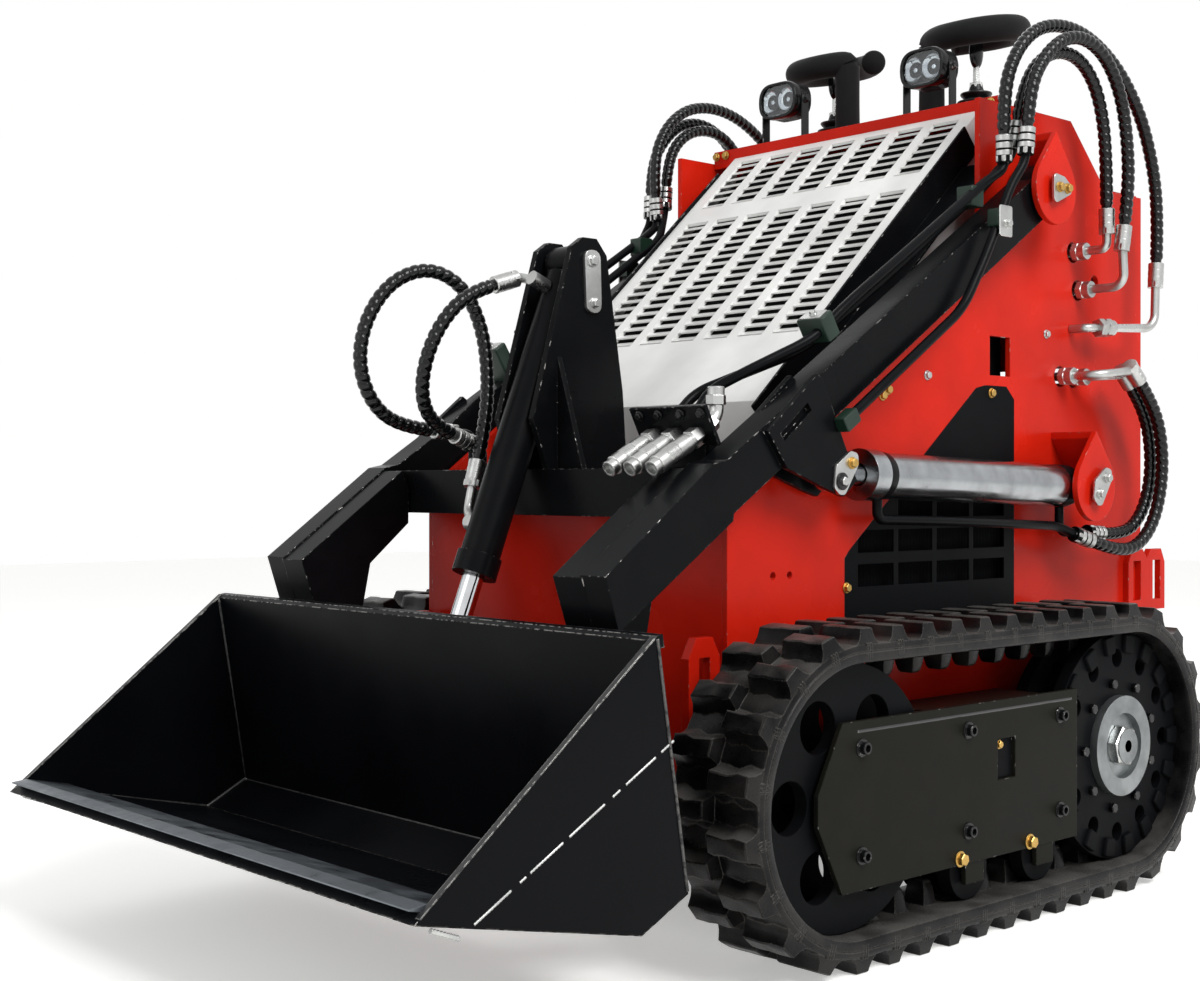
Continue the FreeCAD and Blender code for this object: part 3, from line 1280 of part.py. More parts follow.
def bucket():
    """Open bucket of welded plates."""
    wall = S["bucket_wall"]
    corners = [(S["lip_x"], S["lip_z"]), (S["heel_x"], S["heel_z"]),
               (S["back_low_x"], S["back_low_z"]), (S["back_top_x"], S["back_top_z"])]
    outer = plate("bucket_outer", "XZ_Plane", corners, S["bucket_half"] * 2)
    place(outer)
    hollow = [(S["lip_x"] + 60, S["lip_z"] + wall + 20), (S["heel_x"] + 2, S["heel_z"] + wall),
              (S["back_low_x"] + wall + 2, S["back_low_z"] + wall * 0.8),
              (S["back_top_x"] + wall + 2, S["back_top_z"] + 12), (S["back_top_x"] + 200, S["back_top_z"] + 60)]
    inner = plate("bucket_inner", "XZ_Plane", hollow, (S["bucket_half"] - wall) * 2)
    place(inner)
    rim = plate("bucket_rim", "XZ_Plane", [back_line(-1, 0.95), back_line(10, 0.95), back_line(10, 1),
                                           back_line(-1, 1)], S["bucket_half"] * 2)
    place(rim)
    keep(fuse("bucket", [cut("bucket_shell", outer, inner), rim]), "bucket")


def cutting_edge():
    """Bevelled steel bar on the bucket's floor along the lip."""
    wall = S["bucket_wall"]
    half = S["bucket_half"] - wall - S["fit_gap"]
    rise = (S["lip_z"] + 20 - S["heel_z"]) / (S["lip_x"] + 58 - S["heel_x"])
    floor = S["heel_z"] + wall + S["fit_gap"] / 2
    front = S["lip_x"]
    back = front - S["edge_width"]
    points = [(back, floor + rise * (back - S["heel_x"])), (front, floor + rise * (front - S["heel_x"])),
              (front, floor + rise * (front - S["heel_x"]) + 2),
              (front - 25, floor + rise * (front - 25 - S["heel_x"]) + S["edge_bar"]),
              (back, floor + rise * (back - S["heel_x"]) + S["edge_bar"])]
    item = plate("cutting_edge", "XZ_Plane", points, half * 2)
    place(item)
    keep(item, "cutting_edge")


# ---------------------------------------------------------------- assembly


def build_all():
    hubs = []
    for side_name, side in SIDES:
        track(f"track_{side_name}", side)
        idler(f"idler_{side_name}", side)
        hubs.extend(sprocket(f"sprocket_{side_name}", side))
        rollers(f"rollers_{side_name}", side)
        track_frame(f"track_frame_{side_name}", side)
        drive_motor(f"drive_motor_{side_name}", side)
        side_plate(f"side_plate_{side_name}", side)
        side_grille(f"side_grille_{side_name}", side)
        arm_bracket(f"arm_bracket_{side_name}", side)
        cylinder_bracket(f"cylinder_bracket_{side_name}", side)
        arm(f"arm_{side_name}", side)
        lift = (S["lift_base_x"], S["lift_base_z"], S["lift_rod_x"], S["lift_rod_z"], side * S["lift_y"])
        barrel(f"lift_barrel_{side_name}", *lift, S["lift_barrel"], size(580), 34, S["lift_rod"] + 2)
        piston_rod(f"lift_rod_{side_name}", *lift, S["lift_rod"], size(110), 12)
        lift_hoses(f"lift_hoses_{side_name}", side)
        lift_pipes(f"lift_pipes_{side_name}", side)
    keep(group("hubs", hubs), "hubs")
    front_plate()
    belly_pan()
    rear_panel()
    console()
    hood()
    hood_frames()
    engine()
    tie_downs()
    platform()
    hand_rests()
    levers()
    lamps()
    tilt_tower()
    coupler_bracket()
    quick_couplers()
    arm_pipes()
    rear_hoses()
    port_fittings()
    tilt_hoses()
    tilt_ports()
    tilt = (S["tilt_base_x"], S["tilt_base_z"], S["tilt_rod_x"], S["tilt_rod_z"], size(0))
    barrel("tilt_barrel", *tilt, S["tilt_barrel"], size(520), 28, S["tilt_rod"] + 2)
    piston_rod("tilt_rod", *tilt, S["tilt_rod"], size(110), 24)
    attach_plate()
    bucket()
    cutting_edge()


def check_all():
    doc.recompute()
    for item in doc.Objects:
        if "Invalid" in item.State or "Error" in item.State:
            raise ValueError(f"{item.Label} failed: {item.State}")
    for item in subparts:
        if item.Shape.isNull() or not item.Shape.isValid():
            raise ValueError(f"{item.Label} has no valid shape")


def write_all():
    os.makedirs("parts", exist_ok=True)
    for item in subparts:
        item.Shape.exportStep(f"parts/{item.Label}.step")
        box_ = item.Shape.BoundBox
        print(f"{item.Label}: {len(item.Shape.Solids)} solids, {item.Shape.Volume / 1e9:.5f} m3, "
              f"x {box_.XMin:.0f} {box_.XMax:.0f} y {box_.YMin:.0f} {box_.YMax:.0f} "
              f"z {box_.ZMin:.0f} {box_.ZMax:.0f}")


build_all()
check_all()
write_all()
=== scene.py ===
import math

import bmesh
import bpy
import numpy as np
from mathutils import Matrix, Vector


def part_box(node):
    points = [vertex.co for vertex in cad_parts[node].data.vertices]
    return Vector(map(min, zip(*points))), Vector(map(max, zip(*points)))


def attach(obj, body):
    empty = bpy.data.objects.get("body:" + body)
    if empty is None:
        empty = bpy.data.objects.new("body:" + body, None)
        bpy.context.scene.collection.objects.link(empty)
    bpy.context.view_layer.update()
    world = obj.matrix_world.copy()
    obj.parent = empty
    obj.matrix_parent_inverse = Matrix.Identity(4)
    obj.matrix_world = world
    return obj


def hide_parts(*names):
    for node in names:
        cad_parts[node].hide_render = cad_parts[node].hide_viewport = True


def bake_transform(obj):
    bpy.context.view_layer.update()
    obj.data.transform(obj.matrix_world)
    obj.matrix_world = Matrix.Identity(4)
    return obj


bl_info = {
    "name": "Mini track loader looks",
    "version": (1, 0, 0),
    "blender": (4, 5, 0),
    "location": "View3D > Sidebar > Loader",
    "description": "Finishes, hoses, fittings and fasteners round the packed mini track loader",
    "category": "Object",
}

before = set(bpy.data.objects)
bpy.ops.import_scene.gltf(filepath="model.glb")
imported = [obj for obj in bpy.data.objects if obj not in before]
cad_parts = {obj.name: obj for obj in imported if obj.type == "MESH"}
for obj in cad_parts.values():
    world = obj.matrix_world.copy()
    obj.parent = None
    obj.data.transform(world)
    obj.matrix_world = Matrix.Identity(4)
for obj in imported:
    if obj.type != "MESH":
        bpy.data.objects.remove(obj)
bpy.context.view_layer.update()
SIDES = (("left", 1), ("right", -1))
X_AXIS, Y_AXIS, Z_AXIS = np.eye(3)
# Materials made here, by name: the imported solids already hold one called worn_steel.
MADE = {}


# ---------------------------------------------------------------- colours and nodes


def linear(hex_text):
    """sRGB hex to linear: each part p becomes ((p + 0.055) / 1.055) to the power 2.4, with alpha 1."""
    parts = np.array([int(hex_text[start:start + 2], 16) for start in (1, 3, 5)]) / 255
    curve = np.where(parts <= 0.04045, parts / 12.92, ((parts + 0.055) / 1.055) ** 2.4)
    return (*curve.tolist(), 1.0)


def shade(colour, factor):
    """A colour made darker or lighter by a factor, with alpha 1."""
    return (*(part * factor for part in colour[:3]), 1.0)


def add_node(tree, kind, settings=(), links=(), output=0):
    """Add one node and return one of its outputs: settings are its properties or unlinked inputs, and links
    feed its other inputs."""
    node = tree.nodes.new(kind)
    for name, value in dict(settings).items():
        if isinstance(name, int) or name in node.inputs:
            node.inputs[name].default_value = value
        else:
            setattr(node, name, value)
    for name, socket in dict(links).items():
        tree.links.new(socket, node.inputs[name])
    return node.outputs[output]


def limits(low, high, new_low=0.0, new_high=1.0):
    """Settings that map a value's range low..high to new_low..new_high, held at both ends."""
    return {"From Min": low, "From Max": high, "To Min": new_low, "To Max": new_high}


def new_material(name, settings):
    """A material with one Principled shader; returns its node tree and the shader."""
    material = bpy.data.materials.new(name)
    material.use_nodes = True
    shader = material.node_tree.nodes["Principled BSDF"]
    for key, value in settings.items():
        shader.inputs[key].default_value = value
    MADE[name] = material
    return material.node_tree, shader


def object_noise(tree, size_mm, detail=3.0, stretch=(1, 1, 1)):
    """Noise whose grains measure size_mm on the object, drawn longer where stretch is under 1."""
    place = add_node(tree, "ShaderNodeTexCoord", output="Object")
    turned = add_node(tree, "ShaderNodeMapping", {"Scale": stretch}, {"Vector": place})
    return add_node(tree, "ShaderNodeTexNoise", {"Scale": 1000 / size_mm, "Detail": detail},
                    {"Vector": turned})


def edge_mask(tree, soft_normal):
    """1 on edges and 0 on flats: how far a rounded normal turns away from the true one."""
    true = add_node(tree, "ShaderNodeNewGeometry", output="Normal")
    turn = add_node(tree, "ShaderNodeVectorMath", {"operation": "DOT_PRODUCT"}, {0: soft_normal, 1: true},
                    "Value")
    return add_node(tree, "ShaderNodeMapRange", limits(0.995, 0.9), {0: turn})


def two_tones(tree, cloud, high, first, second):
    """A cloud of two colours that blend into each other."""
    tone = add_node(tree, "ShaderNodeMapRange", limits(0.35, high), {0: cloud})
    return add_node(tree, "ShaderNodeMix", {"data_type": "RGBA", 6: first, 7: second}, {0: tone}, 2)


def link_surface(tree, shader, colour, roughness, height, strength, distance, soft_normal):
    """Feed a shader its colour, its roughness and a fine bump on the softened normal."""
    bump = add_node(tree, "ShaderNodeBump", {"Strength": strength, "Distance": distance},
                    {"Height": height, "Normal": soft_normal})
    for key, socket in (("Base Color", colour), ("Roughness", roughness), ("Normal", bump)):
        tree.links.new(socket, shader.inputs[key])


# ---------------------------------------------------------------- places and meshes


def box_middle(node, axis):
    """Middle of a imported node's box along one axis, in metres."""
    low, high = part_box(node)
    return (low[axis] + high[axis]) / 2


AXLE_X = box_middle("sprocket_left", 0)
AXLE_Z = box_middle("sprocket_left", 2)


def at(x, y, z):
    """Millimetres ahead of the sprocket's shaft, left of the middle plane and above the ground, in metres."""
    return np.array([AXLE_X + x / 1000, y / 1000, z / 1000])


def mirrored(side, x, y, z):
    """The same place on either side of the middle plane."""
    return at(x, side * y, z)


def outer_face(node):
    """How far a node reaches from the middle plane, in millimetres."""
    low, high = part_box(node)
    return max(abs(low[1]), abs(high[1])) * 1000


def unit(vector):
    """Vectors of length 1 in the same directions."""
    vector = np.asarray(vector, dtype=float)
    return vector / np.linalg.norm(vector, axis=-1, keepdims=True)


def leaning(angle):
    """Two unit vectors in the middle plane: one that falls forwards by an angle, and one square above it."""
    return (np.array([math.cos(angle), 0, -math.sin(angle)]), np.array([math.sin(angle), 0, math.cos(angle)]))


def square_to(axis):
    """Two unit vectors square to an axis and to each other."""
    helper = (1.0, 0.0, 0.0) if abs(axis[2]) > 0.9 else (0.0, 0.0, 1.0)
    side = unit(np.cross(axis, helper))
    return side, np.cross(side, axis)


def grid_faces(rows, columns, closed_rows=False, closed_columns=True):
    """Quads between the points of a grid, joined round where a direction is closed."""
    row = np.arange(rows if closed_rows else rows - 1)[:, None]
    column = np.arange(columns if closed_columns else columns - 1)[None, :]
    next_row = (row + 1) % rows
    next_column = (column + 1) % columns
    corners = (row * columns + column, row * columns + next_column, next_row * columns + next_column,
               next_row * columns + column)
    return np.stack(corners, axis=-1).reshape(-1, 4).tolist()


def lathe(profile, origin, axis, around=20, turn=0.0):
    """Turned form: point = origin + axis * along + radius * (cos * side + sin * up), along and radius from a
    profile in millimetres."""
    profile = np.array(profile, dtype=float) / 1000
    axis = unit(axis)
    side, up = square_to(axis)
    angle = turn + np.arange(around) / around * 2 * np.pi
    ring = np.cos(angle)[:, None] * side + np.sin(angle)[:, None] * up
    points = np.asarray(origin) + profile[:, 0, None, None] * axis + profile[:, 1, None, None] * ring
    return points.reshape(-1, 3), grid_faces(len(profile), around)


def oblong(low, high, radius=0.0, steps=5):
    """Rectangle between two corners, with its corners rounded where a radius is given."""
    corners = [low, (high[0], low[1]), high, (low[0], high[1])]
    return rounded(corners, radius, steps) if radius else corners


def rounded(corners, radius, steps=5):
    """Outline with round corners: each arc starts and ends radius / tan(half the corner) from its corner."""
    corners = np.array(corners, dtype=float)
    before = unit(np.roll(corners, 1, axis=0) - corners)
    after = unit(np.roll(corners, -1, axis=0) - corners)
    half = np.arccos(np.clip((before * after).sum(axis=1), -1, 1)) / 2
    lengths = np.linalg.norm(np.roll(corners, -1, axis=0) - corners, axis=1)
    reach = np.minimum(radius / np.tan(half), 0.48 * lengths)
    share = np.linspace(0, 1, steps)[None, :, None]
    first = (corners + before * reach[:, None])[:, None, :]
    last = (corners + after * reach[:, None])[:, None, :]
    middle = corners[:, None, :]
    return ((1 - share) ** 2 * first + 2 * share * (1 - share) * middle + share ** 2 * last).reshape(-1, 2)


def ringed(rings, origin, along, across, normal):
    """Sheet through rings of the same number of points in millimetres, each at its height along the normal."""
    points = [np.asarray(origin) + (ring[:, :1] * along + ring[:, 1:] * across + height * np.asarray(normal)) / 1000
              for ring, height in rings]
    return np.concatenate(points), grid_faces(len(rings), len(rings[0][0]))


def slab(outline, origin, along, across, normal, thickness, chamfer=0.8):
    """Plate cut to an outline in millimetres, with its outer rim chamfered by a smaller last ring."""
    outline = np.array(outline, dtype=float)
    middle = outline.mean(axis=0)
    reach = np.linalg.norm(outline - middle, axis=1).max()
    smaller = middle + (outline - middle) * (1 - chamfer / reach)
    rings = ((outline, 0.0), (outline, thickness - chamfer), (smaller, thickness))
    points, faces = ringed(rings, origin, along, across, normal)
    count = len(outline)
    return points, faces + [list(range(count)), list(range(2 * count, 3 * count))]


def side_slab(outline, origin, side, thickness, chamfer=0.8):
    """Plate that lies flat on the machine's side."""
    return slab(outline, origin, X_AXIS, Z_AXIS, side * Y_AXIS, thickness, chamfer)


def spline_points(route):
    """Points of the smooth NURBS line that a route's points control."""
    curve = bpy.data.curves.new("route", "CURVE")
    curve.dimensions = "3D"
    curve.resolution_u = 16
    spline = curve.splines.new("NURBS")
    spline.points.add(len(route) - 1)
    for point, place in zip(spline.points, route):
        point.co = (*place, 1.0)
    spline.order_u = 3
    spline.use_endpoint_u = True
    holder = bpy.data.objects.new("route", curve)
    mesh = bpy.data.meshes.new_from_object(holder)
    points = np.empty(len(mesh.vertices) * 3)
    mesh.vertices.foreach_get("co", points)
    bpy.data.objects.remove(holder)
    bpy.data.curves.remove(curve)
    bpy.data.meshes.remove(mesh)
    return points.reshape(-1, 3)


def even_points(points, step_mm):
    """The same line with its points evenly spaced; also each point's distance along it."""
    lengths = np.linalg.norm(np.diff(points, axis=0), axis=1)
    distance = np.concatenate([[0], np.cumsum(lengths)])
    wanted = np.linspace(0, distance[-1], max(2, int(distance[-1] * 1000 / step_mm)))
    return np.stack([np.interp(wanted, distance, points[:, axis]) for axis in range(3)], axis=1), wanted


def swept(points, distance, radius_mm, around=12, reference=(0, 1, 0), relief=None):
    """Round bar along a line; relief(distance, angle) adds millimetres to its radius."""
    tangent = unit(np.gradient(points, axis=0))
    side = unit(np.cross(tangent, reference))
    up = np.cross(side, tangent)
    angle = np.arange(around) / around * 2 * np.pi
    radius = np.broadcast_to(np.asarray(radius_mm, dtype=float).reshape(-1, 1), (len(points), around)).copy()
    if relief:
        radius += relief(distance[:, None] * 1000, angle[None, :])
    ring = np.cos(angle)[None, :, None] * side[:, None] + np.sin(angle)[None, :, None] * up[:, None]
    body = points[:, None] + radius[..., None] / 1000 * ring
    ends = (np.repeat(points[:1, None], around, axis=1), np.repeat(points[-1:, None], around, axis=1))
    whole = np.concatenate([ends[0], body, ends[1]])
    return whole.reshape(-1, 3), grid_faces(len(whole), around)


def new_piece(name, sheets, material, body="chassis", crease=35, replaces=None):
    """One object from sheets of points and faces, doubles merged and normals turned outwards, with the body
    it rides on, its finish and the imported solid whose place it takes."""
    points = []
    faces = []
    for sheet_points, sheet_faces in sheets:
        start = len(points)
        points.extend(map(tuple, sheet_points))
        faces.extend([corner + start for corner in face] for face in sheet_faces)
    mesh = bpy.data.meshes.new(name)
    mesh.from_pydata(points, [], faces)
    work = bmesh.new()
    work.from_mesh(mesh)
    bmesh.ops.remove_doubles(work, verts=work.verts, dist=1e-6)
    bmesh.ops.dissolve_degenerate(work, edges=work.edges, dist=1e-7)
    bmesh.ops.recalc_face_normals(work, faces=work.faces)
    work.to_mesh(mesh)
    work.free()
    mesh.shade_smooth()
    mesh.set_sharp_from_angle(angle=math.radians(crease))
    mesh.materials.append(MADE[material])
    item = bpy.data.objects.new(name, mesh)
    bpy.context.scene.collection.objects.link(item)
    if body:
        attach(item, body)
    if replaces:
        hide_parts(replaces)
    return item


def new_pieces(table, sheets, body="chassis"):
    """Every piece of a table of names, finishes and slots, from its own collected sheets."""
    for name, (material, slot) in table.items():
        new_piece(name, sheets[name], material, body)


def nut(length, radius, rim=1.0, hole=8.0, start=0.0):
    """Profile of a hexagon nut: both rims chamfered over a millimetre, with a hole through it."""
    end = start + length
    return [(start, hole), (start, radius - rim), (start + 1, radius), (end - 1, radius), (end, radius - rim),
            (end, hole)]


def hex_bolt(origin, axis, radius, height, washer=True):
    """Hexagon head with a washer under it and a chamfered crown."""
    sheets = [lathe([(0, 0), (0, radius), (height * 0.82, radius), (height, radius * 0.86), (height, 0)],
                    np.asarray(origin) + unit(axis) * 0.002, axis, 6, 0.3)]
    if washer:
        rim = radius * 1.25
        sheets.append(lathe([(0, 0), (0, rim), (1.6, rim), (2.0, radius * 1.18), (2.0, 0)], origin, axis, 20))
    return sheets


def side_bolts(side, places, reach, radius, height):
    """The same hexagon bolt at several x and z on a side face that stands reach from the middle plane."""
    sheets = []
    for x, z in places:
        sheets += hex_bolt(mirrored(side, x, reach, z), side * Y_AXIS, radius, height)
    return sheets


def socket_bolt(origin, axis, radius, height):
    """Round cap head with a hexagonal socket sunk in its crown, on a washer."""
    crown = height + 0.8
    rim = radius * 1.45
    mouth = radius * 0.62
    outer = [(0, 0), (0, rim), (2, rim), (2, radius), (height, radius), (crown, radius * 0.92), (crown, mouth)]
    inner = [(crown, mouth), (height * 0.4, radius * 0.5), (height * 0.4, 0)]
    return [lathe(outer, origin, axis, 18), lathe(inner, origin, axis, 6)]


# ---------------------------------------------------------------- materials


def enamel(name, colour, roughness, peel_mm, wear=0.0, dust=0.0, coat=0.0, level=0.5):
    """Sprayed enamel on steel plate: orange peel a few millimetres wide, cloudy gloss, soft edges,
    a film of pale dust, and bare steel where edges rub."""
    tree, shader = new_material(name, {"IOR": 1.5, "Coat Weight": coat, "Coat Roughness": 0.12,
                                       "Specular IOR Level": level})
    cloud = object_noise(tree, 180, 4.0)
    paint = two_tones(tree, cloud, 0.65, shade(colour, 0.86), shade(colour, 1.1))
    gloss = add_node(tree, "ShaderNodeMapRange", limits(0.3, 0.7, roughness * 0.8, roughness * 1.25),
                     {0: cloud})
    soft_normal = add_node(tree, "ShaderNodeBevel", {"samples": 4, "Radius": 0.0025})
    if dust:
        film = add_node(tree, "ShaderNodeMapRange", limits(0.45, 0.75, 0.0, dust),
                        {0: object_noise(tree, 45, 6.0)})
        paint = add_node(tree, "ShaderNodeMix", {"data_type": "RGBA", 7: linear("#8B8378")},
                         {0: film, 6: paint}, 2)
    if wear:
        grit = add_node(tree, "ShaderNodeMapRange", limits(0.62 - wear * 0.3, 0.72 - wear * 0.3),
                        {0: object_noise(tree, 9, 5.0)})
        chips = add_node(tree, "ShaderNodeMath", {"operation": "MULTIPLY"},
                         {0: edge_mask(tree, soft_normal), 1: grit})
        paint = add_node(tree, "ShaderNodeMix", {"data_type": "RGBA", 7: linear("#A9A7A3")},
                         {0: chips, 6: paint}, 2)
        metal = add_node(tree, "ShaderNodeMath", {"operation": "MULTIPLY", 1: 0.9}, {0: chips})
        tree.links.new(metal, shader.inputs["Metallic"])
    link_surface(tree, shader, paint, gloss, object_noise(tree, peel_mm, 2.0), 0.12, 0.0004, soft_normal)


def bare_metal(name, colour, roughness, grain_mm, stretch=(1, 1, 1)):
    """Plated or turned metal: fine grain along the tool's path and faint cloudy tarnish."""
    tree, shader = new_material(name, {"Metallic": 1.0})
    cloud = object_noise(tree, 40, 4.0)
    surface = two_tones(tree, cloud, 0.7, colour, shade(colour, 0.72))
    gloss = add_node(tree, "ShaderNodeMapRange", limits(0.3, 0.7, roughness * 0.75, roughness * 1.4),
                     {0: cloud})
    soft_normal = add_node(tree, "ShaderNodeBevel", {"samples": 4, "Radius": 0.001})
    grain = object_noise(tree, grain_mm, 2.0, stretch)
    link_surface(tree, shader, surface, gloss, grain, 0.1, 0.0003, soft_normal)


def moulded(name, colour, roughness, grain_mm, strength=0.1, dust=0.0, rub=0.0, sheen=0.0, level=0.35):
    """Moulded rubber, foam or plastic: matt pores, a grey film on what faces up that is partly dust and partly
    painted highlight, random patches of dust, and edges painted paler as wear and painted highlight lines."""
    tree, shader = new_material(name, {"IOR": 1.5, "Sheen Weight": sheen, "Sheen Roughness": 0.5,
                                       "Specular IOR Level": level})
    pores = object_noise(tree, grain_mm, 4.0)
    cloud = object_noise(tree, 60, 5.0)
    body = two_tones(tree, cloud, 0.65, shade(colour, 0.8), shade(colour, 1.25))
    gloss = add_node(tree, "ShaderNodeMapRange", limits(0.3, 0.7, roughness * 0.85, roughness * 1.15),
                     {0: pores})
    soft_normal = add_node(tree, "ShaderNodeBevel", {"samples": 4, "Radius": 0.002})
    if dust:
        normal = add_node(tree, "ShaderNodeNewGeometry", output="Normal")
        up = add_node(tree, "ShaderNodeSeparateXYZ", {}, {0: normal}, "Z")
        # What faces up turns grey: partly a film of dust, partly painted highlight where light falls on top.
        upward_dust_and_highlight = add_node(tree, "ShaderNodeMapRange", limits(0.55, 0.95, 0.0, dust * 4), {0: up})
        uneven = add_node(tree, "ShaderNodeMapRange", limits(0.3, 0.6, 0.4, 1.0), {0: cloud})
        film = add_node(tree, "ShaderNodeMath", {"operation": "MULTIPLY"}, {0: upward_dust_and_highlight, 1: uneven})
        patches = add_node(tree, "ShaderNodeMapRange", limits(0.42, 0.66, 0.0, dust), {0: cloud})
        # Edges painted paler: partly wear, partly painted highlight lines along them.
        grit = add_node(tree, "ShaderNodeMapRange", limits(0.35, 0.7, 0.0, rub), {0: pores})
        worn_and_highlit_edges = add_node(tree, "ShaderNodeMath", {"operation": "MULTIPLY"},
                          {0: edge_mask(tree, soft_normal), 1: grit})
        for amount, grey in ((film, "#8A8783"), (patches, "#77716A"), (worn_and_highlit_edges, "#9A958D")):
            body = add_node(tree, "ShaderNodeMix", {"data_type": "RGBA", 7: linear(grey)},
                            {0: amount, 6: body}, 2)
    link_surface(tree, shader, body, gloss, pores, strength, 0.0006, soft_normal)


# Each finish: how it is made, its colour, roughness and grain in millimetres, and what sets it apart.
FINISHES = {
    # Painted weld beads: their crowns are rubbed through to steel.
    "bucket_weld": (enamel, "black", 0.42, 1.5, {"wear": 0.75}),
    # Weld left unpainted: bright, rough scales.
    "raw_weld": (bare_metal, "zinc", 0.45, 1.5, {}),
    # Sprayed gloss enamel: deep red with soft highlights and few chips.
    "red_enamel": (enamel, "red", 0.24, 3.0, {"wear": 0.1, "level": 0.1}),
    # Sprayed enamel on the arms: near black, hardly mirrors a pale room, chipped on its edges.
    "black_enamel": (enamel, "black", 0.28, 3.0, {"wear": 0.2, "dust": 0.004, "level": 0.06}),
    # The same on the bucket, with more of its edges worn to steel.
    "bucket_enamel": (enamel, "bucket", 0.3, 4.0, {"wear": 0.55, "level": 0.06}),
    # Powder coat: a dull brownish black, finely textured.
    "cover_powder_coat": (enamel, "powder", 0.42, 1.6, {"wear": 0.1, "dust": 0.008, "level": 0.05}),
    # Gloss white enamel under a thin clear coat.
    "white_enamel": (enamel, "white", 0.35, 3.0, {"coat": 0.2}),
    # Powder coat on what lies in shadow: matt black.
    "grille_powder_coat": (enamel, "black", 0.5, 1.6, {"level": 0.05}),
    # Moulded track rubber: grey where it faces up, partly dust and partly painted highlight, with edges painted
    # grey as wear and painted highlight lines.
    "track_rubber": (moulded, "rubber", 0.3, 3.0, {"strength": 0.2, "dust": 0.07, "rub": 0.34, "level": 0.14}),
    # Closed-cell foam: matt black, with a faint pale sheen at grazing angles.
    "grip_foam": (moulded, "foam", 0.85, 1.4, {"strength": 0.45, "sheen": 0.08, "level": 0.2}),
    # Extruded polyethylene spiral: black, with a sharp highlight on every turn.
    "guard_plastic": (moulded, "foam", 0.14, 2.0, {"strength": 0.05, "level": 0.3}),
    # Moulded rubber boot: black, half matt.
    "bellows_rubber": (moulded, "foam", 0.4, 2.0, {}),
    # Honed steel tube: streaks drawn out along the barrel.
    "honed_barrel": (bare_metal, "steel", 0.2, 1.2, {"stretch": (0.04, 1, 1)}),
    # Hard chrome, ground and polished: a mirror.
    "chromed_rod": (bare_metal, "chrome", 0.07, 0.8, {}),
    # Bright zinc plate: pale grey, softly reflecting.
    "zinc_plate": (bare_metal, "zinc", 0.3, 0.8, {}),
    # Zinc with yellow chromate: warm, brassy bolts.
    "yellow_zinc": (bare_metal, "yellow_zinc", 0.35, 0.8, {}),
    # Moulded polypropylene: dark green, half matt.
    "clamp_plastic": (moulded, "clamp", 0.4, 1.5, {"strength": 0.08}),
    # Blackened steel: dark, with clear highlights on its hexagons.
    "black_oxide": (enamel, "black", 0.28, 1.5, {"wear": 0.1, "level": 0.3}),
    # Gloss black on a folded edge: one bright line.
    "black_gloss": (enamel, "black", 0.2, 1.5, {"wear": 0.3, "level": 0.6}),
    # Steel rubbed by earth: blue-grey, scored along the bucket.
    "worn_steel": (bare_metal, "edge", 0.36, 2.0, {"stretch": (1, 0.1, 1)}),
    # Machined iron casting: dull grey.
    "hub_casting": (bare_metal, "hub", 0.42, 1.5, {}),
}


def make_materials(colours):
    """Every finish in the table, and the lamps' clear glass."""
    new_material("lamp_glass", {"Roughness": 0.02, "IOR": 1.5, "Transmission Weight": 1.0,
                                "Base Color": linear("#EEF3F6")})
    for name, (make, colour, roughness, grain_mm, settings) in FINISHES.items():
        make(name, getattr(colours, colour), roughness, grain_mm, **settings)


# ---------------------------------------------------------------- sizes and colours


def colour_property(name, hex_text):
    return bpy.props.FloatVectorProperty(name=name, description=f"{name} as a linear colour", subtype="COLOR",
                                         size=4, min=0.0, max=1.0, default=linear(hex_text))


def number_property(name, description, default, **kind):
    return bpy.props.FloatProperty(name=name, description=description, default=default, **kind)


class LoaderColours(bpy.types.PropertyGroup):
    """Colours of the machine's finishes"""
    red: colour_property("Red enamel", "#C8200F")
    black: colour_property("Black enamel", "#0B0C0E")
    bucket: colour_property("Bucket enamel", "#08090C")
    powder: colour_property("Cover powder coat", "#191915")
    white: colour_property("White enamel", "#E4E4E2")
    rubber: colour_property("Track rubber", "#0A0A0C")
    foam: colour_property("Foam and guards", "#0A0B0C")
    steel: colour_property("Honed steel", "#A6A9AC")
    chrome: colour_property("Chrome", "#D2D4D6")
    zinc: colour_property("Zinc plating", "#C3C4C2")
    yellow_zinc: colour_property("Yellow zinc plating", "#C9A45C")
    edge: colour_property("Worn edge steel", "#6F757B")
    hub: colour_property("Hub casting", "#8E9293")
    clamp: colour_property("Clamp plastic", "#10251B")
    floor: colour_property("Floor", "#FAFAF8")


class LoaderStage(bpy.types.PropertyGroup):
    """Where the camera stands, and how bright the lamps are"""
    camera_x: number_property("Camera X", "Camera's place along the machine", 2.1945, unit="LENGTH")
    camera_y: number_property("Camera Y", "Camera's place across the machine", 2.074, unit="LENGTH")
    camera_z: number_property("Camera Z", "Camera's height", 0.695, unit="LENGTH")
    camera_yaw: number_property("Camera yaw", "Direction the camera looks in, from +X", math.radians(227.845),
                                subtype="ANGLE")
    camera_pitch: number_property("Camera pitch", "Upward tilt of the camera", math.radians(-0.2),
                                  subtype="ANGLE")
    camera_lens: number_property("Lens", "Focal length on a 36 mm sensor, in millimetres", 50.1)
    key_power: number_property("Key lamp", "Power of the main soft lamp, in watts", 250.0)
    fill_power: number_property("Fill lamp", "Power of the fill lamp, in watts", 34.0)


# ---------------------------------------------------------------- stage


FLOOR_HALF = 12.0
# Emission that only the camera and mirrors see lifts the floor to the pale backdrop.
FLOOR_GLOW = 0.42
WORLD_LIGHT = 0.5
LAMP_TARGET = (0, 0, 0.6)


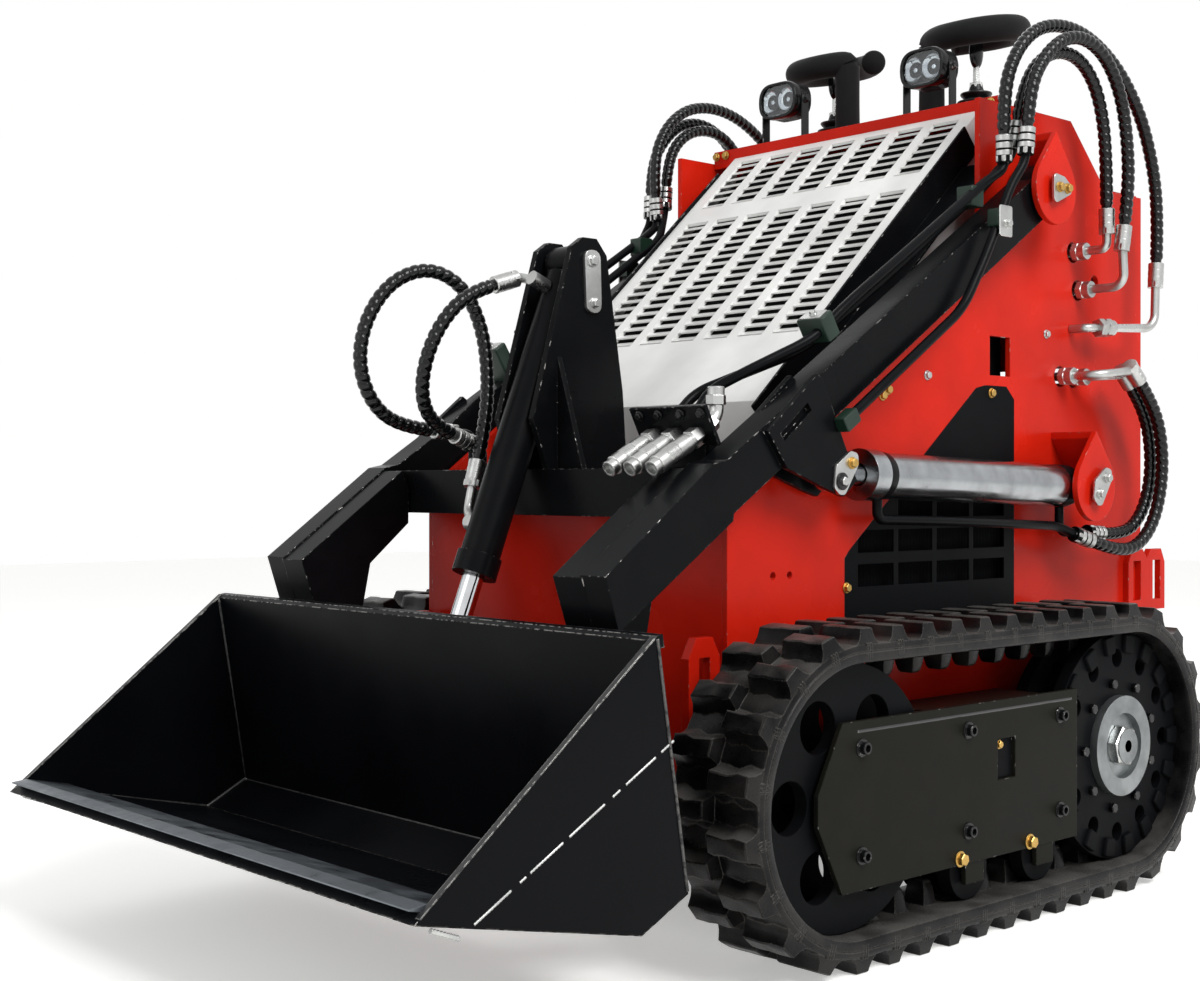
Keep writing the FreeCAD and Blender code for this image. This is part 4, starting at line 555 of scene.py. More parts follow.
def soft_lamp(name, place, size, power):
    """Square area lamp that looks at the machine's middle."""
    lamp = bpy.data.lights.new(name, "AREA")
    lamp.shape = "SQUARE"
    lamp.size = size
    lamp.energy = power
    item = bpy.data.objects.new(name, lamp)
    item.location = place
    item.rotation_euler = (Vector(LAMP_TARGET) - Vector(place)).to_track_quat("-Z", "Y").to_euler()
    bpy.context.scene.collection.objects.link(item)


def seen_directly(tree):
    """1 where a ray comes from the camera, a mirror or glass, and 0 where it only lights the object."""
    seen = add_node(tree, "ShaderNodeLightPath", output="Is Camera Ray")
    for ray in ("Is Transmission Ray", "Is Glossy Ray"):
        other = add_node(tree, "ShaderNodeLightPath", output=ray)
        seen = add_node(tree, "ShaderNodeMath", {"operation": "MAXIMUM"}, {0: seen, 1: other})
    return seen


class LOADER_OT_stage(bpy.types.Operator):
    """Floor, soft lamps, pale world and the camera"""
    bl_idname = "loader.stage"
    bl_label = "Stage"

    def execute(self, context):
        stage = context.scene.loader_stage
        self.floor(context.scene, context.scene.loader_colours.floor)
        soft_lamp("key_lamp", (0.6, 4.2, 4.6), 2.6, stage.key_power)
        soft_lamp("fill_lamp", (5.2, -0.6, 2.4), 3.2, stage.fill_power)
        soft_lamp("back_lamp", (-4.0, -3.2, 3.6), 3.0, stage.fill_power)
        world = bpy.data.worlds.new("studio")
        context.scene.world = world
        world.use_nodes = True
        sky = world.node_tree.nodes["Background"]
        sky.inputs["Color"].default_value = linear("#FFFFFF")
        level = add_node(world.node_tree, "ShaderNodeMapRange", limits(0.0, 1.0, WORLD_LIGHT, 1.0),
                         {0: seen_directly(world.node_tree)})
        world.node_tree.links.new(level, sky.inputs["Strength"])
        camera = bpy.data.cameras.new("camera")
        camera.lens = stage.camera_lens
        camera.sensor_width = 36.0
        view = bpy.data.objects.new("camera", camera)
        view.location = (stage.camera_x, stage.camera_y, stage.camera_z)
        ahead = Vector((math.cos(stage.camera_yaw) * math.cos(stage.camera_pitch),
                        math.sin(stage.camera_yaw) * math.cos(stage.camera_pitch),
                        math.sin(stage.camera_pitch)))
        view.rotation_euler = ahead.to_track_quat("-Z", "Y").to_euler()
        context.scene.collection.objects.link(view)
        context.scene.camera = view
        context.scene.view_settings.view_transform = "Standard"
        return {"FINISHED"}

    def floor(self, scene, colour):
        """Pale painted floor with faint speckles 30 mm wide."""
        mesh = bpy.data.meshes.new("floor")
        corners = oblong((-FLOOR_HALF, -FLOOR_HALF), (FLOOR_HALF, FLOOR_HALF))
        mesh.from_pydata([(x, y, 0) for x, y in corners], [], [(0, 1, 2, 3)])
        floor = bpy.data.objects.new("floor", mesh)
        tree, shader = new_material("pale_floor", {"Roughness": 0.7, "Emission Color": colour})
        tint = add_node(tree, "ShaderNodeMapRange", limits(0.3, 0.7), {0: object_noise(tree, 30, 3.0)})
        speckled = add_node(tree, "ShaderNodeMix", {"data_type": "RGBA", 6: shade(colour, 0.985), 7: colour},
                            {0: tint}, 2)
        tree.links.new(speckled, shader.inputs["Base Color"])
        glow = add_node(tree, "ShaderNodeMath", {"operation": "MULTIPLY", 1: FLOOR_GLOW},
                        {0: seen_directly(tree)})
        tree.links.new(glow, shader.inputs["Emission Strength"])
        mesh.materials.append(MADE["pale_floor"])
        scene.collection.objects.link(floor)


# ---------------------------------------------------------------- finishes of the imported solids


NODE_FINISHES = {
    "red_enamel": ("side_plate", "front_plate", "console", "arm_bracket", "cylinder_bracket", "tie_down_lugs",
                   "rear_panel"),
    "black_enamel": ("arm", "tilt_tower", "coupler_bracket", "tilt_barrel", "attach_plate", "platform",
                     "work_lamps", "hood_frames", "arm_pipes", "lift_pipes"),
    "bucket_enamel": ("bucket",),
    "cover_powder_coat": ("track_frame",),
    "grille_powder_coat": ("side_grille", "sprocket", "idler", "rollers", "drive_motor", "belly_pan",
                           "engine"),
    "white_enamel": ("hood",),
    "track_rubber": ("track",),
    "grip_foam": ("hand_rests", "control_levers"),
    "guard_plastic": ("rear_hoses", "lift_hoses", "tilt_hoses"),
    "honed_barrel": ("lift_barrel",),
    "chromed_rod": ("lift_rod", "tilt_rod"),
    "zinc_plate": ("quick_couplers", "port_fittings", "tilt_ports"),
    "hub_casting": ("hubs",),
    "worn_steel": ("cutting_edge",),
}


class LOADER_OT_finishes(bpy.types.Operator):
    """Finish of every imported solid"""
    bl_idname = "loader.finishes"
    bl_label = "Finishes"

    def execute(self, context):
        make_materials(context.scene.loader_colours)
        finish_of = {node: name for name, nodes in NODE_FINISHES.items() for node in nodes}
        for name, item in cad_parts.items():
            kind = name.removesuffix("_left").removesuffix("_right")
            item.data.materials.clear()
            item.data.materials.append(MADE[finish_of[kind]])
        return {"FINISHED"}


# ---------------------------------------------------------------- hoses


GUARD_PITCH = 15.0
GUARD_DEPTH = 2.6
HOSE_RADIUS = 9.2
FERRULE_LENGTH = 46.0
FERRULE_RADIUS = 14.35
# Each route is a hose's points from end to end in millimetres. For the rear and lift hoses Y counts outwards
# from the middle plane on either side; for the tilt hoses, of which there is one set, Y counts to the left.
REAR_HOSES = (
    [(142, 430, 1316), (133, 434, 1370), (98, 438, 1424), (38, 440, 1456), (-32, 440, 1456),
     (-84, 440, 1420), (-113, 440, 1360), (-125, 440, 1280), (-126, 440, 1196)],
    [(158, 460, 1300), (154, 462, 1368), (112, 464, 1430), (56, 468, 1470), (-10, 470, 1480),
     (-76, 470, 1456), (-124, 470, 1398), (-146, 470, 1316), (-150, 470, 1232), (-142, 466, 1164)],
    [(176, 426, 1290), (181, 428, 1366), (146, 430, 1440), (84, 432, 1490), (4, 434, 1508),
     (-84, 436, 1498), (-172, 438, 1456), (-244, 440, 1384), (-290, 440, 1290), (-306, 440, 1196),
     (-300, 440, 1112)],
)
LIFT_HOSES = (
    [(-232, 425, 880), (-280, 425, 840), (-308, 425, 768), (-304, 425, 692), (-268, 425, 632),
     (-208, 425, 602), (-138, 422, 606)],
    [(-215, 454, 886), (-270, 454, 842), (-300, 454, 764), (-294, 454, 682), (-258, 454, 612),
     (-196, 454, 576), (-126, 450, 578), (-74, 440, 594)],
)
TILT_HOSES = (
    [(940, -166, 785), (1010, -166, 790), (1066, -166, 826), (1092, -164, 892), (1080, -158, 964),
     (1036, -148, 1026), (972, -132, 1050), (914, -118, 1022), (884, -108, 956), (876, -102, 878),
     (884, -98, 800), (906, -92, 734)],
    [(908, -46, 1018), (958, -50, 1002), (1004, -60, 954), (1026, -74, 892), (1020, -92, 832),
     (984, -108, 792), (930, -122, 776)],
)
# Where each hose starts and stops bending: along the machine, across it, or in height, in metres.
REAR_TURNS = ((-0.53, -0.27), (-0.55, -0.26), (-0.66, -0.24))
TILT_TURNS = ((-0.158, -0.1), (-0.115, -0.055))


def guarded_hose(route, side):
    """Hose in a spiral guard: each turn is a flat band with round edges, 1 - u^4 high, u across the pitch."""
    points, distance = even_points(spline_points([mirrored(side, *place) for place in route]), 2.1)
    length = distance[-1] * 1000

    def turns(along, angle):
        across = (along / GUARD_PITCH - side * angle / (2 * np.pi)) % 1 * 2 - 1
        covered = np.clip(np.minimum(along, length - along) / 4 - 1.5, 0, 1)
        return GUARD_DEPTH * (1 - across ** 4) * covered

    return swept(points, distance, HOSE_RADIUS, 12, relief=turns)


def bending_hoses(name, hoses, node):
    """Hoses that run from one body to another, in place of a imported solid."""
    item = new_piece(name, hoses, "guard_plastic", None, 60, node)
    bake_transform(item)


def ferrule(route, side):
    """Crimped ferrule on a route's first end: a plain collar, a swaged middle and a hexagon at the far end."""
    start = mirrored(side, *route[0])
    axis = unit(start - mirrored(side, *route[1]))
    full = FERRULE_RADIUS
    swaged = full - 0.9
    shoulder = FERRULE_LENGTH - 11
    profile = [(-1, 9), (-1, 12.6), (0.4, full), (9, full), (10, swaged), (12, swaged), (13, full),
               (22, full), (23, swaged), (25, swaged), (26, full), (shoulder - 1, full), (shoulder, full - 2.2),
               (shoulder, 8)]
    crown = [(0, 8), (0, full + 1.2), (9, full + 1.2), (10.5, full), (10.5, 8)]
    return [lathe(profile, start, axis, 28), lathe(crown, start + axis * shoulder / 1000, axis, 6)]


class LOADER_OT_hoses(bpy.types.Operator):
    """Hydraulic hoses in spiral guards, each run from one part to the next"""
    bl_idname = "loader.hoses"
    bl_label = "Hoses"

    def execute(self, context):
        for number, (route, (first, last)) in enumerate(zip(REAR_HOSES, REAR_TURNS), 1):
            bending_hoses(f"rear_hose_{number}", [guarded_hose(route, side) for _, side in SIDES],
                          "rear_hoses")
        for side_name, side in SIDES:
            bending_hoses(f"lift_hose_pair_{side_name}", [guarded_hose(route, side) for route in LIFT_HOSES],
                          f"lift_hoses_{side_name}")
        for number, (route, (first, last)) in enumerate(zip(TILT_HOSES, TILT_TURNS), 1):
            bending_hoses(f"tilt_hose_{number}", [guarded_hose(route, 1)], "tilt_hoses")
        return {"FINISHED"}


# ---------------------------------------------------------------- fittings


COUPLER_LEAN = math.radians(28)
COUPLER_Y = (275, 319, 365)
ARM_SLOPE = math.radians(32.7)
PORTS = ((-126, 1124), (-142, 1055), (-126, 893), (-84, 893))
# Arm clamps: middle in x, y and z, width and height.
ARM_CLAMPS = ((240, 403, 1180, 30, 34), (228, 452, 1140, 22, 30))


class LOADER_OT_fittings(bpy.types.Operator):
    """Crimped ferrules and hexagon nuts on the hose ends, quick couplers and pipe clamps"""
    bl_idname = "loader.fittings"
    bl_label = "Fittings"

    def execute(self, context):
        boom = []
        ports = []
        for _, side in SIDES:
            for route in REAR_HOSES:
                boom += ferrule(route, side)
                ports += ferrule(route[::-1], side)
            for route in LIFT_HOSES:
                ports += ferrule(route, side)
            ports += self.unions(side)
        boom += ferrule(TILT_HOSES[0], 1) + ferrule(TILT_HOSES[1][::-1], 1)
        new_piece("arm_ferrules", boom, "zinc_plate", "boom")
        new_piece("port_ferrules", ports, "zinc_plate")
        for side_name, side in SIDES:
            ends = [sheet for route in LIFT_HOSES for sheet in ferrule(route[::-1], side)]
            new_piece(f"lift_ferrules_{side_name}", ends, "zinc_plate", f"{side_name}_lift_barrel")
        ends = ferrule(TILT_HOSES[0][::-1], 1) + ferrule(TILT_HOSES[1], 1)
        new_piece("tilt_ferrules", ends, "zinc_plate", "tilt_cylinder")
        self.couplers()
        self.clamps()
        return {"FINISHED"}

    def unions(self, side):
        """Union nuts on a side plate's ports, each with a lock nut, and two on the port that points back."""
        sheets = []
        outwards = side * Y_AXIS
        lock_nut = [(0, 8), (0, 15.8), (12, 15.8), (13, 14.6), (13, 8)]
        for x, z in PORTS:
            start = mirrored(side, x, 373, z)
            sheets.append(lathe(nut(13, 17.4, 1.4), start, outwards, 6))
            sheets.append(lathe(lock_nut, start + outwards * 0.0145, outwards, 6, 0.4))
        start = mirrored(side, -150, 411, 983.5)
        axis = unit(mirrored(side, -182, 417, 985) - start)
        for reach in (-0.006, 0.012):
            sheets.append(lathe(nut(14, 17.4, 1.4), start + axis * reach, axis, 6, 0.2))
        return sheets

    def couplers(self):
        """Quick couplers: a hexagon body, a knurled sleeve that slides, and a stepped nose with a dark bore.
        A straight inlet leads to two of them and an elbow to the third."""
        axis, _ = leaning(COUPLER_LEAN)
        knurl = [(56 + step * 1.6, 14.9 if step % 2 else 14.1) for step in range(14)]
        profile = [(0, 0), (0, 11.5), (4, 11.5), (4, 13), (24, 13), (25, 12), (28, 12), (28, 14.4),
                   (54, 14.4), (55, 13.6), *knurl, (79, 13.4), (80, 14.7), (97, 14.7), (98, 13.6),
                   (98, 12.2), (109, 12.2), (110, 11.4), (110, 8.6), (100, 8.2), (100, 0)]
        sheets = []
        for y in COUPLER_Y:
            start = at(853.3, y, 769)
            sheets += [lathe(profile, start, axis, 32), lathe(nut(17, 15.8, 0.9, 10, 5), start, axis, 6)]
        inlet = unit(np.array([-65, 0, 57.5]))
        *straight, start = [at(838, y, 777) for y in COUPLER_Y]
        collar = [(18, 8), (18, 11.4), (19, 12), (40, 12), (41, 10.5), (41, 8)]
        for foot in straight:
            sheets.append(lathe([(0, 6), (0, 11), (6, 11), (6, 8.6)], foot, inlet, 24))
            sheets.append(lathe(nut(14, 13.6), foot + inlet * 0.004, inlet, 6))
            sheets.append(lathe(collar, foot, inlet, 24))
        bend = [start + inlet * ahead + Z_AXIS * up
                for ahead, up in ((0, 0), (0.022, 0), (0.03, 0.012), (0.026, 0.026))]
        points, distance = even_points(spline_points(bend), 2.5)
        sheets.append(swept(points, distance, 10.5, 20))
        sheets.append(lathe(nut(14, 13.6), start + inlet * 0.004, inlet, 6))
        sheets.append(lathe(nut(15, 15.5), bend[-1] - Z_AXIS * 0.008, Z_AXIS, 6))
        sheets.append(lathe([(7, 0), (7, 13), (18, 13), (19.5, 11.5), (19.5, 0)], bend[-1], Z_AXIS, 28))
        new_piece("coupler_set", sheets, "zinc_plate", "boom", replaces="quick_couplers")

    def clamps(self):
        """Plastic pipe clamps on the arms, each under a small zinc plate with one bolt."""
        plates = []
        bodies = []
        down, up = leaning(ARM_SLOPE)
        for _, side in SIDES:
            for x, y, z, wide, tall in ARM_CLAMPS:
                outline = oblong((-17, -tall / 2 - 1), (17, tall / 2 + 1), 5)
                bodies.append(side_slab(outline, mirrored(side, x, y - wide / 2 - 0.5, z), side, wide + 1, 2))
            cover = oblong((-17, -26), (17, 26), 4)
            plates.append(side_slab(cover, mirrored(side, 228, 463.6, 1134), side, 3, 0.6))
            plates += hex_bolt(mirrored(side, 226, 466.6, 1130), side * Y_AXIS, 6.5, 6)
            # The left block starts 26 mm higher than the right one.
            low = 26 if side > 0 else 0
            foot = mirrored(side, 600, 396, 899) + up * low / 1000
            lid = foot + up * (66 - low) / 1000
            bodies.append(slab(oblong((-15, -26), (15, 26), 5), foot, down, Y_AXIS, up, 66 - low, 2))
            plates.append(slab(oblong((-12, -20), (12, 20), 3), lid, down, Y_AXIS, up, 2, 0.4))
            plates += hex_bolt(lid + up * 0.002, up, 5, 4)
            bodies.append(slab(oblong((-20, -12), (16, 12), 4), mirrored(side, 622, 441, 792), down, up,
                               side * Y_AXIS, 20, 1.5))
        new_piece("clamp_plates", plates, "zinc_plate", "boom")
        new_piece("pipe_clamps", bodies, "clamp_plastic", "boom")


# ---------------------------------------------------------------- tracks


PITCH = 72.0
LINKS = 38
BELT_RADIUS = 223.0
CORD_RADIUS = BELT_RADIUS - 19.6
TRACK_WIDTH = 165.0
# Outlines: along the loop, and across from the inner edge. Rings: size along, size across and height.
LUG_FOOT = ((-24, 82), (20, 82), (25, 96), (21, 118), (27, 136), (25, 163), (-22, 163), (-26, 140),
            (-19, 120), (-22, 100))
LUG_RINGS = ((1.2, 1.0, -3), (0.86, 1.0, 2.5), (0.68, 0.98, 8), (0.55, 0.94, 17), (0.5, 0.92, 21.6),
             (0.4, 0.86, 23.0))
RIB = oblong((-1.5, 158), (1.5, 165.1))
RIB_RINGS = ((1, 0.9, -20), (1, 0.96, -3), (0.8, 0.96, 0.6), (0.5, 0.8, 1.2))
TOOTH = oblong((-15, 62), (15, 103), 5, 3)
TOOTH_RINGS = ((1.25, 1.1, -26), (1.0, 1.0, -31), (0.82, 0.86, -50), (0.66, 0.72, -59), (0.5, 0.55, -62))
# The belt's section: across from the inner edge, and height over the outer face.
BELT_SECTION = np.array([
    (5, 0), (160, 0), (163, -1.5), (165, -5), (165, -10), (163.6, -11.5), (165, -13), (165, -22), (163, -26),
    (158, -28), (118, -28), (114, -26), (50, -26), (46, -28), (7, -28), (2, -26), (0, -22), (0, -13),
    (1.4, -11.5), (0, -10), (0, -5), (2, -1.5)])


def loop_place(distance, height, across, side):
    """Place on the belt's loop: two half circles round the wheels joined by straight runs, distance counted
    along the steel cords, height square to the outer face, across from the inner edge."""
    wheelbase = (box_middle("idler_left", 0) - AXLE_X) * 1000
    arc = math.pi * CORD_RADIUS
    distance, height, across = np.broadcast_arrays(distance, height, across)
    distance = distance % (2 * wheelbase + 2 * arc)
    before_front = distance < wheelbase
    on_front = distance < wheelbase + arc
    before_rear = distance < 2 * wheelbase + arc
    turn = np.select([before_front, on_front, before_rear],
                     [0 * distance, (distance - wheelbase) / CORD_RADIUS, np.pi + 0 * distance],
                     np.pi + (distance - 2 * wheelbase - arc) / CORD_RADIUS)
    run = np.select([before_front, on_front, before_rear],
                    [distance, wheelbase + 0 * distance, 2 * wheelbase + arc - distance], 0 * distance)
    x = run + np.sin(turn) * (BELT_RADIUS + height)
    z = np.cos(turn) * (BELT_RADIUS + height)
    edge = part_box("track_left")[0][1]
    return np.stack([AXLE_X + x / 1000, side * (edge + across / 1000), AXLE_Z + z / 1000], axis=-1)


def pads(outline, rings, shifts, side, mirror=False):
    """The same pad at every shift: rings of its outline, each drawn in and raised, closed by a crown."""
    outline = np.array(outline, dtype=float)
    if mirror:
        outline = outline * (1, -1) + (0, TRACK_WIDTH)
    middle = outline.mean(axis=0)
    points = []
    for size_along, size_across, height in rings:
        ring = middle + (outline - middle) * (size_along, size_across)
        points.append(np.column_stack([ring, np.full(len(ring), height)]))
    grid = np.stack(points)[None] + np.array(shifts, dtype=float)[:, None, None, None] * (1, 0, 0)
    count = len(outline)
    faces = grid_faces(len(rings), count) + [list(range((len(rings) - 1) * count, len(rings) * count))]
    placed = loop_place(grid[..., 0], grid[..., 2], grid[..., 1], side).reshape(len(shifts), -1, 3)
    return [(one, faces) for one in placed]


class LOADER_OT_tracks(bpy.types.Operator):
    """Rubber tracks: moulded belt, two staggered rows of stepped lugs, side ribs and tapered guide teeth"""
    bl_idname = "loader.tracks"
    bl_label = "Tracks"

    def execute(self, context):
        stations = np.arange(LINKS * 6) * PITCH / 6
        links = np.arange(LINKS) * PITCH
        for side_name, side in SIDES:
            belt = loop_place(stations[:, None], BELT_SECTION[None, :, 1], BELT_SECTION[None, :, 0], side)
            sheets = [(belt.reshape(-1, 3), grid_faces(len(stations), len(BELT_SECTION), closed_rows=True))]
            sheets += pads(LUG_FOOT, LUG_RINGS, links, side)
            sheets += pads(LUG_FOOT, LUG_RINGS, links + PITCH / 2, side, mirror=True)
            for shift in (-5, 0, 5):
                sheets += pads(RIB, RIB_RINGS, links + shift, side)
            sheets += pads(TOOTH, TOOTH_RINGS, links + PITCH / 4, side)
            new_piece(f"rubber_track_{side_name}", sheets, "track_rubber", crease=30,
                      replaces=f"track_{side_name}")
        return {"FINISHED"}


# ---------------------------------------------------------------- fasteners


# Keeper plates, round the pin that each one holds.
PIN_PLATE = ((26, 24), (-6, 20), (-28, 6), (-28, -8), (18, -28), (26, -22))
BASE_PLATE = ((26, -24), (22, 12), (-12, 34), (-30, 30), (-30, 12), (2, -34), (14, -34))
KEEPER_THICKNESS = 5.0
ARM_PIVOT = (47, 1212)
LIFT_BASE = (-55, 413, 692)
LIFT_EYE = (617, 413, 713)
COVER_STEP = 8
# The cover's upper fold: where it starts and stops along the machine, and its height.
TOP_FOLD = (168, 722, 342)
# Lower rear corner of the small window in each side plate.
WINDOW = (75, 886)
BOLT_CIRCLE = 108
LUG_CIRCLE = 176
# Names, finishes and slots of the pieces that ride on the chassis.
FASTENERS = {
    "keeper_plates": ("zinc_plate", "zinc"),
    "plated_bolts": ("yellow_zinc", "zinc"),
    "cover_bolts": ("black_oxide", "black_paint"),
    "zinc_bolts": ("zinc_plate", "zinc"),
    "hub_faces": ("hub_casting", "zinc"),
    "cover_folds": ("black_gloss", "black_paint"),
    # Thin dark sheets that paint the shade inside the covers' slots and the side plates' windows.
    "cover_recesses": ("grille_powder_coat", "black_paint"),
    "sprocket_lugs": ("grille_powder_coat", "black_paint"),
}


def retainer(outline, x, z, reach, side, bolts):
    """Zinc keeper plate that holds a pin, and the heads of its bolts."""
    plate = side_slab(rounded(outline, 9), mirrored(side, x, reach, z), side, KEEPER_THICKNESS)
    places = [(x + along, z + up) for along, up in bolts]
    return plate, side_bolts(side, places, reach + KEEPER_THICKNESS, 7.5, 6)


def on_wheel(side, radius, turn, reach):
    """Place on a circle round the sprocket's shaft, reach from the middle plane."""
    return mirrored(side, radius * math.cos(turn), reach, AXLE_Z * 1000 + radius * math.sin(turn))


class LOADER_OT_fasteners(bpy.types.Operator):
    """Keeper plates and bolts, the hubs' faces, the covers' folds, dark sheets that paint the shade in recesses,
    sprocket lugs and coolers
    """
    bl_idname = "loader.fasteners"
    bl_label = "Fasteners"

    def execute(self, context):
        sheets = {name: [] for name in FASTENERS}
        for _, side in SIDES:
            self.keepers(sheets, side)
            self.covers(sheets, side)
            self.plates(sheets, side)
            self.wheels(sheets, side)
        self.radiators()
        new_pieces(FASTENERS, sheets)
        return {"FINISHED"}

    def keepers(self, sheets, side):
        """Keeper plates on the arm's pivot and on the lift cylinder's base pin."""
        for outline, (x, z), node, bolts, kind in (
                (PIN_PLATE, ARM_PIVOT, "arm_bracket_left", ((10, 0), (-14, 0)), "plated_bolts"),
                (BASE_PLATE, LIFT_BASE[::2], "cylinder_bracket_left", ((9, -13), (-14, 15)), "zinc_bolts")):
            plate, heads = retainer(outline, x, z, outer_face(node), side, bolts)
            sheets["keeper_plates"].append(plate)
            sheets[kind] += heads

    def covers(self, sheets, side):
        """Track frame's cover: its screws and bolts, bright upper fold, and a dark sheet at the end of its slot
        that paints the shade there.
        """
        reach = outer_face("track_frame_left")
        for x in (203, 456, 713):
            for z in (163, 318):
                sheets["cover_bolts"] += socket_bolt(mirrored(side, x, reach, z), side * Y_AXIS, 9, 11)
        sunk = reach - COVER_STEP
        # The slot's end is a thin black sheet: painted shade.
        slot = oblong((331, 233), (377, 295), 5, 3)
        sheets["cover_recesses"].append(side_slab(slot, mirrored(side, 0, sunk + 0.4, 0), side, 0.8, 0.2))
        sheets["plated_bolts"] += side_bolts(side, [(366, 286)], sunk + 1, 6, 4)
        sheets["plated_bolts"] += side_bolts(side, [(290, 123), (477, 123)], reach, 10, 9)
        ends = [mirrored(side, x, reach - 4.5, TOP_FOLD[2]) for x in TOP_FOLD[:2]]
        points, distance = even_points(np.array(ends), 40)
        sheets["cover_folds"].append(swept(points, distance, 5.0, 16, reference=Z_AXIS))

    def plates(self, sheets, side):
        """Side plate: its bolts, and a dark plate behind its small window that paints the shade inside it."""
        face = outer_face("side_plate_left")
        x, z = WINDOW
        # A black plate behind the window: painted shade.
        back = oblong((x - 30, z - 30), (x + 91, z + 99))
        sheets["cover_recesses"].append(side_slab(back, mirrored(side, 0, face - 44, 0), side, 4, 1))
        sheets["zinc_bolts"] += side_bolts(side, ((-38, 968), (316, 878)), face, 6.5, 5)
        places = ((435, 840), (421, 850), (132, 855), (526, 531))
        sheets["plated_bolts"] += side_bolts(side, places, face, 7, 5)

    def wheels(self, sheets, side):
        """Sprocket's bolts and lugs, and the hub's machined face with its nut and stud."""
        outwards = side * Y_AXIS
        reach = outer_face("sprocket_left")
        for turn in np.arange(9) * 2 * np.pi / 9:
            sheets["cover_bolts"] += hex_bolt(on_wheel(side, BOLT_CIRCLE, turn, reach), outwards, 9, 7, False)
        hub = mirrored(side, 0, outer_face("hubs"), AXLE_Z * 1000)
        face = [(-22, 0), (-22, 56), (-19.5, 56), (-19.5, 34), (-18, 34), (-18, 0)]
        hub_nut = [(-18, 0), (-18, 36), (-4, 36), (-1.5, 33), (-1.5, 16), (-6, 14), (-6, 0)]
        stud = [(-8, 0), (-8, 12), (-0.8, 12), (0, 10.5), (0, 0)]
        sheets["hub_faces"].append(lathe(face, hub, outwards, 40))
        sheets["zinc_bolts"] += [lathe(hub_nut, hub, outwards, 6, 0.2), lathe(stud, hub, outwards, 20)]
        outline = rounded([(-17, -13), (15, -16), (15, 16), (-17, 13)], 4, 3)
        for turn in np.arange(18) * 2 * np.pi / 18:
            place = on_wheel(side, LUG_CIRCLE, turn, reach - 2)
            sheets["sprocket_lugs"].append(slab(outline, place, *leaning(-turn), outwards, 9, 2))

    def radiators(self):
        """Cooler behind each side grille: flat core whose fins are folded 9 mm apart, zigzag across."""
        low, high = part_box("side_grille_left")
        x = np.arange(low[0] + 0.004, high[0] - 0.004, 0.0045)[:, None]
        z = np.array([low[2] + 0.004, high[2] - 0.004])[None, :]
        sheets = []
        for _, side in SIDES:
            y = side * (abs(low[1]) - 0.024 - 0.006 * (np.arange(len(x)) % 2))[:, None]
            grid = np.stack(np.broadcast_arrays(x, y, z), axis=-1)
            sheets.append((grid.reshape(-1, 3), grid_faces(len(x), 2, closed_columns=False)))
        new_piece("cooler_cores", sheets, "grille_powder_coat")


# ---------------------------------------------------------------- console


DECK_Z = 1366.0
LEVER = (-100, 175)
LAMP = (52, 178)
# The hand rest goes round the lever from this angle, in degrees.
REST_START = -57
REST_RADIUS = 84
FOAM_RADIUS = 24.5
BOOT_FOLDS = 5
FOLD_HEIGHT = 16


def rest_place(degrees):
    """X and y on the hand rest's circle round the lever."""
    turn = np.radians(degrees)
    return LEVER[0] + REST_RADIUS * np.cos(turn), LEVER[1] + REST_RADIUS * np.sin(turn)


def foam_ring(side):
    """Foam-covered bar: up from the console, round the lever and back, open at its end, rounded there."""
    x, y = rest_place(REST_START + 44 * np.arange(8))
    ring = np.stack([x, y, DECK_Z + 193.2 - 0.17 * (x - LEVER[0])], axis=1)
    foot = np.array([[x[0], y[0], DECK_Z + height] for height in (10, 70, 130, 174)])
    route = np.concatenate([foot, ring])
    points, distance = even_points(spline_points([mirrored(side, *place) for place in route]), 4)
    along = distance * 1000
    end = np.minimum(along, along[-1] - along)
    dome = np.sqrt(np.clip(1 - (1 - np.clip(end / 9, 0, 1)) ** 2, 0.02, 1))
    radius = FOAM_RADIUS * dome + 0.25 * np.sin(along / 23)
    return swept(points, distance, radius, 28, reference=(0.2, 0.1, 1))


def bellows(side):
    """Ribbed boot under a lever: cone whose radius steps out at every fold, closed by a collar."""
    profile = [(0, 0), (0, 58), (3, 58)]
    for fold in range(BOOT_FOLDS):
        low = 6 + fold * FOLD_HEIGHT
        wide = 56 - fold * 6.4
        profile += [(low, wide - 9), (low + 5, wide - 3), (low + 9, wide), (low + 11.5, wide - 0.6),
                    (low + 13.5, wide - 8)]
    top = 6 + BOOT_FOLDS * FOLD_HEIGHT
    profile += [(top, 15), (top + 6, 13), (top + 12, 12), (top + 13, 9)]
    return lathe(profile, mirrored(side, *LEVER, DECK_Z), Z_AXIS, 40)


def knob(side):
    """Lever's knob: an egg of revolution, flattened front to back and across."""
    across = np.linspace(0, np.pi, 15)
    profile = np.column_stack([34 - 34 * np.cos(across), 34 * np.sin(across) ** 0.85])
    points, faces = lathe(profile, mirrored(side, *LEVER, DECK_Z + 129), Z_AXIS, 24)
    middle = mirrored(side, *LEVER, DECK_Z + 163)
    return middle + (points - middle) * (0.55, 0.3, 1), faces


